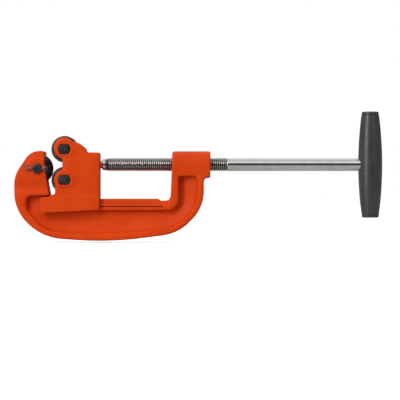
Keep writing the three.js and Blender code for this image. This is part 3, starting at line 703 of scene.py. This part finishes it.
def distanceTo(line, p):
    # distance in the side view, and whether the point lies inside the line closed on itself
    best = np.full(len(p), 1e9)
    inside = np.zeros(len(p), bool)
    closedLine = list(line) + [line[0]]
    for i, (a, b) in enumerate(zip(closedLine, closedLine[1:])):
        a, b = np.array(a), np.array(b)
        if i < len(line) - 1:
            along = b - a
            t = np.clip(((p - a) @ along) / (along @ along), 0, 1)
            best = np.minimum(best, np.linalg.norm(p - a - t[:, None] * along, axis=1))
        if a[1] != b[1]:
            crossing = (a[1] > p[:, 1]) != (b[1] > p[:, 1])
            reach = a[0] + (p[:, 1] - a[1]) * (b[0] - a[0]) / (b[1] - a[1])
            inside ^= crossing & (p[:, 0] < reach)
    return best, inside


makeYoke()
print("yoke cast")


# roller carrier

carrierSizes = {
    "grain": 0.62,
    "edgeRounds": 3,
    "cornerRounds": 16,
    "half": 15.4,
    "pinHole": 5.0,
    "headHalf": 6.45,
    "headFlat": 5.2,
    "headPocket": 12.55,   # depth of the pocket's floor from the middle
    "rollerRoom": 14.3,
    "rollerHalf": 9.5,
    "channelHalf": 10.8,
    "socketRadius": 4.3,
    "socketFrom": 27.0,
    "retainingRadius": 1.8,
    "retainingDepth": 20.3,
    "railTop": 14.9,       # above the carrier's foot
    "padRadius": 9.8,
    "padFace": 16.4,
    "padFootUpper": 6.3,
    "padFootLower": 7.2,
    # fillers of the holes, cut again once the skin is smooth
    "pinFiller": 7.2,
    "socketFiller": (4.9, 19.0),
    "retainingFiller": 2.5,
    # where corners aren't filled
    "crispChannel": {"y": (-1, 11.2), "z": (-1e3, -33)},
    "crispPockets": {"x": (-1e3, 27), "y": (-1, 10.0)},
}


def doubleFlat(radius, flat, count=64):
    # a circle with its top and bottom cut flat
    points = []
    for step in range(count):
        a = 2 * math.pi * step / count
        points.append((radius * math.cos(a), max(-flat, min(flat, radius * math.sin(a)))))
    return points


def makeCarrier():
    s = carrierSizes
    item = copyOfNode("roller_carrier", "carrierCasting")
    back = carrierHigh.x / mm
    nearPin, farPin = middleOf("near_retaining_pin"), middleOf("far_retaining_pin")
    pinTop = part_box("near_retaining_pin")[1].z / mm
    inner, outer = s["rollerHalf"] + 0.1, s["half"] - overrun
    socketRadius, socketFrom = s["socketFiller"]
    fill = [rod(socketRadius, socketFrom, back - overrun, "x")]
    for at in (upperAt, lowerAt):
        for low, high in ((-outer, -inner), (inner, outer)):
            fill.append(rod(s["pinFiller"], low, high, "y", (at.x, 0, at.z)))
    # pads round the pins' heads
    for at, foot in ((upperAt, s["padFootUpper"]), (lowerAt, s["padFootLower"])):
        outline = [
            (at.x / mm + s["padRadius"] * math.cos(a), at.z / mm + max(-foot, s["padRadius"] * math.sin(a)))
            for a in np.linspace(0, 2 * math.pi, 64, endpoint=False)
        ]
        fill.append(slab(outline, -s["padFace"], -s["half"] + 1))
    deep = pinTop - s["retainingDepth"]
    for pin in (nearPin, farPin):
        fill.append(rod(s["retainingFiller"], deep - 0.5, pinTop + overrun, "z", (pin.x, pin.y, 0)))
    joinShells(item, fill)

    def crisp(p):
        return within(p, **s["crispChannel"]) | within(p, **s["crispPockets"])

    castSkin(item, s, crisp)
    cutters = []
    for at in (upperAt, lowerAt):
        place = (at.x, 0, at.z)
        cutters.append(rod(s["pinHole"], -outside, outside, "y", place))
        outline = [(at.x / mm + x, at.z / mm + z) for x, z in doubleFlat(s["headHalf"], s["headFlat"])]
        cutters.append(slab(outline, -outside, -s["headPocket"]))
        cutters.append(rod(s["rollerRoom"], -s["rollerHalf"], s["rollerHalf"], "y", place, 96))
    cutters.append(rod(s["socketRadius"], s["socketFrom"], back + 2, "x"))
    for pin in (nearPin, farPin):
        place = (pin.x, pin.y, 0)
        cutters.append(rod(s["retainingRadius"], deep, pinTop + 6, "z", place, 32))
    railTop = carrierLow.z / mm + s["railTop"]
    cutters.append(block((-40, -s["channelHalf"], -70), (80, s["channelHalf"], railTop)))
    cut(item, *cutters)
    markEdges(item, 2)
    return finishPiece(item, "carrier", enamel, "orange_enamel", "roller_carrier", angle=50)


makeCarrier()
print("carrier cast")


# cutter wheel and rollers

wheelSizes = {
    "radius": 15.5, "shoulder": 11.6, "bladeHalf": 2.6, "edgeHalf": 0.15,
    "bevelWide": 1.4, "bevelDeep": 1.05, "rootRise": 0.45,
    "hubRadius": 8.4, "hubHalf": 8.7, "bore": 5.0,
}


def makeWheel():
    s = wheelSizes
    half = [
        (s["bore"], s["hubHalf"], 0.4),
        (s["hubRadius"], s["hubHalf"], 0.7),
        (s["hubRadius"], s["bladeHalf"] + s["rootRise"], 0.8),
        (s["shoulder"] - 0.4, s["bladeHalf"], 0.5),
        (s["shoulder"] + s["bevelWide"], s["bladeHalf"] - s["bevelDeep"], 0.3),
        (s["radius"], s["edgeHalf"], 0.08),
    ]
    item = lathe("cutterWheelBody", mirrored(half), "y", wheelAt, 120, ring=True)
    return finishPiece(item, "wheel", blackIron, "black_steel", "cutter_wheel", angle=25)


def mirrored(half):
    # a half profile and its mirror image, as one closed line
    return half + [(r, -p, rounding) for r, p, rounding in reversed(half)]


rollerSizes = {
    "radius": 13.5, "half": 9.2, "bore": 5.0, "bevel": 0.9,
    "dish": 9.4, "dishDepth": 0.8,
}
rollerBodies = {"upper": "top_roller", "lower": "bottom_roller"}


def makeRollers():
    s = rollerSizes
    for name, at in (("upper", upperAt), ("lower", lowerAt)):
        half = [
            (s["bore"], s["half"] - s["dishDepth"], 0.3),
            (s["dish"] - s["dishDepth"], s["half"] - s["dishDepth"], 0.3),
            (s["dish"], s["half"], 0.3),
            (s["radius"] - s["bevel"], s["half"], 0.35),
            (s["radius"], s["half"] - s["bevel"], 0.45),
        ]
        item = lathe(name + "RollerBody", mirrored(half), "y", at, 112, ring=True)
        finishPiece(item, rollerBodies[name], blackIron, "black_steel", name + "_roller", angle=28)


makeWheel()
makeRollers()
print("wheel and rollers turned")


# pins, washers and clips

pinSizes = {
    "radius": 4.7, "tailChamfer": 0.8, "headHalf": 6.1, "headFlat": 4.85, "headRound": 0.55,
    "grooveDepth": 0.9, "clipRadius": 7.4, "clipMouth": 1.05,
    "washerRadius": 8.2, "washerBore": 5.0, "sideGap": 0.3,
    "headThick": 3.0, "dimpleRadius": 1.7, "dimpleFloor": 0.9, "dimpleDepth": 0.35,
}


def stacked(name, outline, layers, at=(0, 0, 0)):
    # a flat outline stacked along y; each layer is (place, inset) in millimetres
    count = len(outline)
    loop = [Vector(p) for p in outline]
    inward = []
    for i in range(count):
        along = (loop[(i + 1) % count] - loop[i - 1]).normalized()
        inward.append(Vector((-along.y, along.x)))
    rings = []
    for place, inset in layers:
        moved = [point + way * inset for point, way in zip(loop, inward)]
        rings.append([(at[0] + p.x * mm, at[1] + place * mm, at[2] + p.y * mm) for p in moved])
    return loft(name, rings)


def roundLayers(near, far, rounding, steps=4):
    layers = []
    for step in range(steps + 1):
        a = math.pi / 2 * step / steps
        layers.append((near + rounding * (1 - math.sin(a)), rounding * (1 - math.cos(a))))
    layers.reverse()
    farSide = [(far - (place - near), inset) for place, inset in reversed(layers)]
    return layers + farSide


def makeRollerPins():
    s = pinSizes
    for name, at in (("upper", upperAt), ("lower", lowerAt)):
        low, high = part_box(name + "_roller_pin")
        washerLow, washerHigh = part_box(name + "_pin_washer")
        clipLow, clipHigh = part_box(name + "_pin_clip")
        near, tail = low.y / mm, high.y / mm
        gap = s["sideGap"] / 2
        grooveNear, grooveFar = clipLow.y / mm - gap, clipHigh.y / mm + gap
        place = (at.x, 0, at.z)
        neck = s["radius"] - s["grooveDepth"]
        shaft = lathe(name + "RollerPinBody", [
            (0, near + 1, 0), (s["radius"], near + 1, 0),
            (s["radius"], grooveNear, 0.15), (neck, grooveNear, 0.1),
            (neck, grooveFar, 0.1), (s["radius"], grooveFar, 0.15),
            (s["radius"], tail - s["tailChamfer"], 0.2),
            (s["radius"] - s["tailChamfer"], tail, 0.2), (0, tail, 0),
        ], "y", place, 64)
        head = stacked("head", doubleFlat(s["headHalf"], s["headFlat"]),
                       roundLayers(near, near + s["headThick"], s["headRound"]), place)
        weld(shaft, head)
        dimple = lathe("dimple", [
            (0, near - 1, 0), (s["dimpleRadius"], near - 1, 0),
            (s["dimpleFloor"], near + s["dimpleDepth"], 0.2), (0, near + s["dimpleFloor"], 0),
        ], "y", place, 32)
        cut(shaft, dimple)
        finishPiece(shaft, "carrier", darkIron, "dark_steel", name + "_roller_pin", angle=30)
        washer = lathe(name + "PinWasherRing", [
            (s["washerBore"], washerLow.y / mm, 0.15), (s["washerRadius"], washerLow.y / mm, 0.25),
            (s["washerRadius"], washerHigh.y / mm, 0.25), (s["washerBore"], washerHigh.y / mm, 0.15),
        ], "y", place, 72, ring=True)
        finishPiece(washer, "carrier", zinc, "bright_steel", name + "_pin_washer", angle=30)
        layers = roundLayers(clipLow.y / mm, clipHigh.y / mm, 0.16, 3)
        clip = stacked(name + "PinClipRing", clipOutline(neck + s["sideGap"]), layers, place)
        finishPiece(clip, "carrier", blackIron, "black_steel", name + "_pin_clip", angle=30)


def clipOutline(inner):
    # an open spring ring; its ends are rounded lugs
    s = pinSizes
    mouth = s["clipMouth"]
    outerArc = [
        (s["clipRadius"] * math.cos(a), s["clipRadius"] * math.sin(a))
        for a in np.linspace(mouth, 2 * math.pi - mouth, 48)
    ]
    innerArc = [
        (inner * math.cos(a), inner * math.sin(a))
        for a in np.linspace(2 * math.pi - mouth, mouth, 40)
    ]
    return outerArc + innerArc


makeRollerPins()


wheelPinSizes = {
    "radius": 4.7, "chamfer": 0.9, "endRadius": 1.5, "headRadius": 7.2, "headRound": 1.1,
    "seatGap": 0.3, "splitHole": 2.12,
}


def makeWheelPin():
    s = wheelPinSizes
    low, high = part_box("cutter_wheel_pin")
    wire = middleOf("cutter_wheel_split_pin")
    near, far = low.y / mm, high.y / mm
    seat = yokeHigh.y / mm + s["seatGap"]
    pin = lathe("wheelPinBody", [
        (0, near + s["endRadius"], 0), (s["endRadius"], near, 0.1), (s["radius"] - s["chamfer"], near, 0.05),
        (s["radius"], near + s["chamfer"] / 2, 0.05), (s["radius"], seat, 0), (s["headRadius"], seat, 0.3),
        (s["headRadius"], far, s["headRound"]), (0, far, 0),
    ], "y", (wheelAt.x, 0, wheelAt.z), 72)
    hole = rod(s["splitHole"], -9, 9, "x", (wheelAt.x, wire.y, wheelAt.z), 32)
    cut(pin, hole)
    finishPiece(pin, "yoke", darkIron, "dark_steel", "cutter_wheel_pin", angle=30)


makeWheelPin()


splitPinSizes = {
    "halfWidth": 0.85, "thick": 1.05, "flat": 0.12, "gap": 0.06, "eyeRadius": 1.3, "eyeSweep": 125,
    "splayUp": 3.9, "splayDown": 1.7, "shortLeg": 2.6, "bend": 6.0, "neck": 2.6, "steps": 150,
}


def makeSplitPin():
    # half-round wire bent double round an eye, its flats facing each other, tips spread
    s = splitPinSizes
    low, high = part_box("cutter_wheel_split_pin")
    tip = low.x / mm + 0.5
    wire = middleOf("cutter_wheel_split_pin")
    bend = wheelAt.x / mm - s["bend"]
    eye = high.x / mm - s["eyeRadius"] - s["thick"]
    neck = eye - s["neck"]

    def leg(splay, tip):
        line = [(tip, splay + s["gap"]), ((tip + bend) / 2, splay * 0.45 + s["gap"]), (bend, s["gap"])]
        return line + [(x, s["gap"]) for x in np.linspace(bend + 1.5, neck, 6)]

    turn = [
        (eye + s["eyeRadius"] * math.cos(a), s["eyeRadius"] * math.sin(a))
        for a in np.radians(np.linspace(-s["eyeSweep"], s["eyeSweep"], 15))
    ]
    lower = [(x, -z) for x, z in leg(s["splayDown"], tip + s["shortLeg"])]
    path = lower + turn + list(reversed(leg(s["splayUp"], tip)))
    path = smoothPath(path, s["steps"])
    section = [(0, -s["halfWidth"])]
    for a in np.linspace(-math.pi / 2, math.pi / 2, 11):
        depth = s["flat"] + (s["thick"] - s["flat"]) * math.cos(a)
        section.append((-depth, s["halfWidth"] * math.sin(a)))
    section.append((0, s["halfWidth"]))
    rings = []
    for i, here in enumerate(path):
        before, after = path[max(i - 1, 0)], path[min(i + 1, len(path) - 1)]
        along = (after - before).normalized()
        inward = Vector((-along.y, along.x))
        ring = [(here + inward * depth, across) for depth, across in section]
        rings.append([(at.x * mm, wire.y + across * mm, wheelAt.z + at.y * mm) for at, across in ring])
    pin = loft("splitPinWire", rings)
    finishPiece(pin, "yoke", dullSteel, "bright_steel", "cutter_wheel_split_pin", angle=40)


def smoothPath(path, count):
    # points spread evenly along a smooth curve through `path`
    control = [Vector(p) for p in path]
    fine = []
    for i in range(len(control) - 1):
        p0, p1 = control[max(i - 1, 0)], control[i]
        p2, p3 = control[i + 1], control[min(i + 2, len(control) - 1)]
        for t in np.linspace(0, 1, 12, endpoint=False):
            fine.append(0.5 * (2 * p1 + (p2 - p0) * t + (2 * p0 - 5 * p1 + 4 * p2 - p3) * t * t
                               + (3 * p1 - p0 - 3 * p2 + p3) * t ** 3))
    fine.append(control[-1])
    lengths = np.cumsum([0] + [(b - a).length for a, b in zip(fine, fine[1:])])
    spots = np.linspace(0, lengths[-1], count)
    xs = np.interp(spots, lengths, [p.x for p in fine])
    ys = np.interp(spots, lengths, [p.y for p in fine])
    return [Vector(p) for p in zip(xs, ys)]


makeSplitPin()
print("pins, washers and clips made")


# feed screw

threadSizes = {
    "Crest Radius": 7.0 * mm,
    "Thread Depth": 1.15 * mm,
    "Pitch": 2.0 * mm,
    "Length": 122.8 * mm,
    "Crest": 0.08,           # where the flank starts and ends, as shares of half a pitch
    "Root": 0.90,
    "Run Out": 2.2 * mm,     # the thread fades in and out over this length
    "Start Turn": 0.24,      # where round the screw the thread begins
    "Sides": 40,
    "Rows": 614,
}
screwSizes = {
    "leadLength": 4.5, "leadRadius": 5.75, "spigotRadius": 4.0, "spigotLength": 20.0,
    "grooveRadius": 2.6, "groovePlace": 10.0, "grooveHalf": 1.8, "shankRadius": 6.5,
    "coreRadius": 5.3, "coreLap": 0.8, "shankLap": 0.4, "edge": 0.5, "barHole": 4.3, "rollHole": 1.7,
}


def threadTree():
    tree = bpy.data.node_groups.new("screwThread", "GeometryNodeTree")
    face = tree.interface
    face.new_socket("Geometry", in_out="OUTPUT", socket_type="NodeSocketGeometry")
    for name, value in threadSizes.items():
        kind = "NodeSocketInt" if isinstance(value, int) else "NodeSocketFloat"
        face.new_socket(name, in_out="INPUT", socket_type=kind).default_value = value
    face.new_socket("Finish", in_out="INPUT", socket_type="NodeSocketMaterial")
    given = tree.nodes.new("NodeGroupInput").outputs
    blank = tree.nodes.new("GeometryNodeMeshCylinder")
    blank.fill_type = "TRIANGLE_FAN"
    for socket, name in (("Vertices", "Sides"), ("Side Segments", "Rows"),
                         ("Radius", "Crest Radius"), ("Depth", "Length")):
        tree.links.new(given[name], blank.inputs[socket])
    split = tree.nodes.new("ShaderNodeSeparateXYZ")
    tree.links.new(tree.nodes.new("GeometryNodeInputPosition").outputs[0], split.inputs[0])
    x, y, z = split.outputs
    turn = sums(tree, "DIVIDE", sums(tree, "ARCTAN2", y, x), 2 * math.pi)
    along = sums(tree, "DIVIDE", z, given["Pitch"])
    turn = sums(tree, "ADD", turn, given["Start Turn"])
    phase = sums(tree, "FRACT", sums(tree, "SUBTRACT", along, turn), 0)
    valley = sums(tree, "ABSOLUTE", sums(tree, "SUBTRACT", sums(tree, "MULTIPLY", phase, 2.0), 1.0), 0)
    flank = tree.nodes.new("ShaderNodeMapRange")
    tree.links.new(valley, flank.inputs["Value"])
    tree.links.new(given["Crest"], flank.inputs["From Min"])
    tree.links.new(given["Root"], flank.inputs["From Max"])
    valley = flank.outputs["Result"]
    end = sums(tree, "SUBTRACT", sums(tree, "MULTIPLY", given["Length"], 0.5), sums(tree, "ABSOLUTE", z, 0))
    fade = sums(tree, "MINIMUM", sums(tree, "DIVIDE", end, given["Run Out"]), 1.0)
    deep = sums(tree, "MAXIMUM", valley, sums(tree, "SUBTRACT", 1.0, fade))
    sunk = sums(tree, "DIVIDE", sums(tree, "MULTIPLY", deep, given["Thread Depth"]), given["Crest Radius"])
    scale = sums(tree, "SUBTRACT", 1.0, sunk)
    joined = tree.nodes.new("ShaderNodeCombineXYZ")
    tree.links.new(sums(tree, "MULTIPLY", x, scale), joined.inputs[0])
    tree.links.new(sums(tree, "MULTIPLY", y, scale), joined.inputs[1])
    tree.links.new(z, joined.inputs[2])
    shaped = tree.nodes.new("GeometryNodeSetPosition")
    tree.links.new(blank.outputs["Mesh"], shaped.inputs["Geometry"])
    tree.links.new(joined.outputs[0], shaped.inputs["Position"])
    whole = tree.nodes.new("GeometryNodeRealizeInstances")
    tree.links.new(shaped.outputs[0], whole.inputs[0])
    painted = tree.nodes.new("GeometryNodeSetMaterial")
    tree.links.new(whole.outputs[0], painted.inputs["Geometry"])
    tree.links.new(given["Finish"], painted.inputs["Material"])
    tree.links.new(painted.outputs[0], tree.nodes.new("NodeGroupOutput").inputs[0])
    return tree


def makeScrew():
    s = screwSizes
    tip = screwLow.x / mm
    end = screwHigh.x / mm
    lead = tip + s["spigotLength"]
    threadStart = lead + s["leadLength"]
    threadEnd = threadStart + threadSizes["Length"] / mm
    groove = lead - s["groovePlace"]
    tree = threadTree()
    item = bpy.data.objects.new("feedScrewBody", bpy.data.meshes.new("feedScrewBody"))
    scene.collection.objects.link(item)
    step = item.modifiers.new("thread", "NODES")
    step.node_group = tree
    for socket in tree.interface.items_tree:
        if socket.in_out == "INPUT":
            step[socket.identifier] = threadSizes.get(socket.name, zinc)
    bake(item)
    turned = Matrix.Rotation(math.pi / 2, 4, "Y")
    middle = (threadStart + threadEnd) / 2 * mm
    item.data.transform(Matrix.Translation((middle, 0, 0)) @ turned)
    closed(item)
    leadEnd, shankStart = threadStart + s["coreLap"], threadEnd - s["shankLap"]
    core = lathe("core", [
        (0, tip, 0), (s["spigotRadius"], tip, 0.6), (s["spigotRadius"], groove - s["grooveHalf"], 0.2),
        (s["grooveRadius"], groove - s["grooveHalf"], 0.2),
        (s["grooveRadius"], groove + s["grooveHalf"], 0.2),
        (s["spigotRadius"], groove + s["grooveHalf"], 0.2), (s["spigotRadius"], lead, 0.15),
        (s["leadRadius"], lead, 0.9), (s["leadRadius"], leadEnd, 0),
        (s["coreRadius"], leadEnd, 0), (s["coreRadius"], shankStart, 0),
        (s["shankRadius"], shankStart, s["edge"]), (s["shankRadius"], end, s["edge"]), (0, end, 0),
    ], "x", sides=80)
    weld(item, core)
    barHole = rod(s["barHole"], -outside, outside, "z", (gripAt.x, 0, 0), 48)
    rollHole = rod(s["rollHole"], -outside, outside, "y", (gripAt.x, 0, 0), 32)
    cut(item, barHole, rollHole)
    co, _ = skinArrays(item.data)
    radius = np.hypot(co[:, 1], co[:, 2])
    crest, depth = threadSizes["Crest Radius"], threadSizes["Thread Depth"]
    threaded = (co[:, 0] > threadStart * mm) & (co[:, 0] < threadEnd * mm)
    # depth below the crest, which the finish paints darker as shade in the roots
    layer = item.data.attributes.new("rootTone", "FLOAT", "POINT")
    layer.data.foreach_set("value", np.where(threaded, (crest - radius) / depth, 0).astype(np.float32))
    return finishPiece(item, "screw", zinc, "bright_steel", "feed_screw", angle=24)


makeScrew()


retainingSizes = {"radius": 1.5, "footRound": 0.3, "topRound": 0.35}


def makeRetainingPins():
    s = retainingSizes
    for name in ("near", "far"):
        low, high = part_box(name + "_retaining_pin")
        at = (low + high) / 2
        foot, top = low.z / mm, high.z / mm
        pin = lathe(name + "RetainingPinBody", [
            (0, foot, 0), (s["radius"], foot, s["footRound"]),
            (s["radius"], top, s["topRound"]), (0, top, 0),
        ], "z", (at.x, at.y, 0), 40)
        finishPiece(pin, "carrier", darkIron, "dark_steel", name + "_retaining_pin", angle=30)


makeRetainingPins()
print("screw cut")


# grip

gripSizes = {
    "middleRadius": 12.2, "endRadius": 8.5, "half": 54.0, "endRound": 2.3, "beadWidth": 3.1,
    "beadLow": 0.15, "beadHigh": 0.25, "beadSlope": 0.4, "rows": 28,
    "barRoom": 4.3, "barHalf": 44.3, "shankRoom": 6.8, "shankPast": 7.8,
}


def makeGrip():
    s = gripSizes
    bead, radius = s["half"] - s["beadWidth"], s["endRadius"]
    end = [
        (0, s["half"], 0), (radius, s["half"], s["endRound"]),
        (radius + s["beadHigh"], bead + s["beadSlope"], 0.1), (radius - s["beadLow"], bead, 0.1),
    ]
    line = [(r, -place, rounding) for r, place, rounding in end]
    for row in range(s["rows"] + 1):
        place = (row / s["rows"] * 2 - 1) * (bead - 0.5)
        slim = (s["middleRadius"] - radius) * (place / s["half"]) ** 2
        line.append((s["middleRadius"] - slim, place, 0))
    line += reversed(end)
    grip = lathe("gripBarrel", line, "z", (gripAt.x, 0, 0), 96, steps=8)
    barRoom = rod(s["barRoom"], -s["barHalf"], s["barHalf"], "z", (gripAt.x, 0, 0), 48)
    shankRoom = rod(s["shankRoom"], -16, s["shankPast"], "x", (gripAt.x, 0, 0), 96)
    cut(grip, barRoom, shankRoom)
    return finishPiece(grip, "screw", plastic, "black_plastic", "handle_grip", angle=40)


makeGrip()
for name in ("handle_cross_bar", "handle_roll_pin", "screw_thrust_disc"):
    nodes[name].data.materials.clear()
    nodes[name].data.materials.append(darkIron)
print("grip moulded")


# floor, light and camera

studio = {
    "floorDrop": 2.0,       # millimetres under the bow
    "floorTone": (0.90, 0.90, 0.90),
    "floorBounce": (0.55, 0.55, 0.55),  # as the tool sees it near by: with floorFar, a painted pool of light round the tool, dimmer than the camera's white
    "floorFar": (0.06, 0.06, 0.06),
    "floorDim": (-0.38, -0.18),         # from far to near, in metres
    "floorGlow": 0.50,
    "floorSize": 30.0,
    "keyPlace": (-0.75, -1.25, 0.95), "keySize": 0.7, "keyPower": 9.4,
    "fillPlace": (1.3, -1.2, 0.35), "fillSize": 1.0, "fillPower": 1.2,
    "topPlace": (0.1, 0.1, 1.3), "topSize": 1.2, "topPower": 2.0,
    "stripPlace": (-0.62, -0.95, 0.02), "stripSize": (0.12, 0.9), "stripPower": 7.5,
    "cameraDistance": 2.0, "cameraX": 0.1494, "cameraZ": -0.036, "lens": 176.5, "sensor": 36,
}


def softLight(name, place, size, power, target):
    lamp = bpy.data.lights.new(name, "AREA")
    lamp.shape = "RECTANGLE"
    lamp.size, lamp.size_y = size if isinstance(size, tuple) else (size, size)
    lamp.energy = power
    item = bpy.data.objects.new(name, lamp)
    scene.collection.objects.link(item)
    item.location = place
    item.rotation_mode = "QUATERNION"
    item.rotation_quaternion = (Vector(target) - Vector(place)).to_track_quat("-Z", "Y")


def makeStudio():
    s = studio
    drop = yokeLow.z - s["floorDrop"] * mm
    half = s["floorSize"] / 2
    floor = bpy.data.meshes.new("floor")
    floor.from_pydata([(-half, -half, drop), (half, -half, drop), (half, half, drop), (-half, half, drop)],
                      [], [(0, 1, 2, 3)])
    item = bpy.data.objects.new("floor", floor)
    scene.collection.objects.link(item)
    material, tree, shader, place = newFinish("paperFloor")
    direct = tree.nodes.new("ShaderNodeLightPath").outputs["Is Camera Ray"]
    split = tree.nodes.new("ShaderNodeSeparateXYZ")
    tree.links.new(place, split.inputs["Vector"])
    # for all rays but the camera's the floor is a painted pool of light: floorBounce near the tool, dark
    # floorFar away from it
    near = spread(tree, split.outputs["Y"], *s["floorDim"], 0, 1)
    tone = blendColour(tree, near, s["floorFar"], s["floorBounce"])
    tone = blendColour(tree, direct, tone, s["floorTone"])
    tree.links.new(tone, shader.inputs["Base Color"])
    shader.inputs["Emission Color"].default_value = (1, 1, 1, 1)
    tree.links.new(sums(tree, "MULTIPLY", direct, s["floorGlow"]), shader.inputs["Emission Strength"])
    shader.inputs["Roughness"].default_value = 0.95
    shader.inputs["Specular IOR Level"].default_value = 0.1
    floor.materials.append(material)
    middle = (cadLow + cadHigh) / 2
    for name, target in (("key", middle), ("fill", middle), ("top", middle), ("strip", (gripAt.x, 0, 0))):
        softLight(name + "Light", s[name + "Place"], s[name + "Size"], s[name + "Power"], target)
    camera = bpy.data.cameras.new("camera")
    camera.lens = s["lens"]
    camera.sensor_width = s["sensor"]
    item = bpy.data.objects.new("camera", camera)
    scene.collection.objects.link(item)
    item.location = (s["cameraX"], -s["cameraDistance"], s["cameraZ"])
    item.rotation_euler = (math.pi / 2, 0, 0)
    scene.camera = item


# half the room's brightness against height, from the horizon (0) to overhead (1)
roomLight = [(0.0, 0.04), (0.38, 0.10), (0.58, 0.70), (0.76, 0.78), (0.92, 0.30), (1.0, 0.24)]


def makeWorld():
    # a pale room: bright overhead and at the sides, dim behind the camera and behind the tool
    world = bpy.data.worlds.new("room")
    scene.world = world
    world.use_nodes = True
    tree = world.node_tree
    tree.nodes.clear()
    output = tree.nodes.new("ShaderNodeOutputWorld")
    seen = tree.nodes.new("ShaderNodeBackground")
    seen.inputs["Color"].default_value = (1, 1, 1, 1)
    lit = tree.nodes.new("ShaderNodeBackground")
    split = tree.nodes.new("ShaderNodeSeparateXYZ")
    tree.links.new(tree.nodes.new("ShaderNodeTexCoord").outputs["Generated"], split.inputs[0])
    profile = tree.nodes.new("ShaderNodeFloatCurve")
    curve = profile.mapping.curves[0]
    for height, light in roomLight[1:-1]:
        curve.points.new(height, light)
    curve.points[0].location, curve.points[-1].location = roomLight[0], roomLight[-1]
    profile.mapping.update()
    tree.links.new(split.outputs["Z"], profile.inputs["Value"])
    sides = spread(tree, sums(tree, "ABSOLUTE", split.outputs["X"], 0), 0.45, 0.95, 0.0, 0.25)
    glow = sums(tree, "ADD", sums(tree, "MULTIPLY", profile.outputs[0], 2.0), sides)
    tree.links.new(glow, lit.inputs["Strength"])
    pick = tree.nodes.new("ShaderNodeMixShader")
    tree.links.new(tree.nodes.new("ShaderNodeLightPath").outputs["Is Camera Ray"], pick.inputs[0])
    tree.links.new(lit.outputs[0], pick.inputs[1])
    tree.links.new(seen.outputs[0], pick.inputs[2])
    tree.links.new(pick.outputs[0], output.inputs["Surface"])


makeStudio()
makeWorld()
scene.view_settings.view_transform = "Standard"
print("studio set")
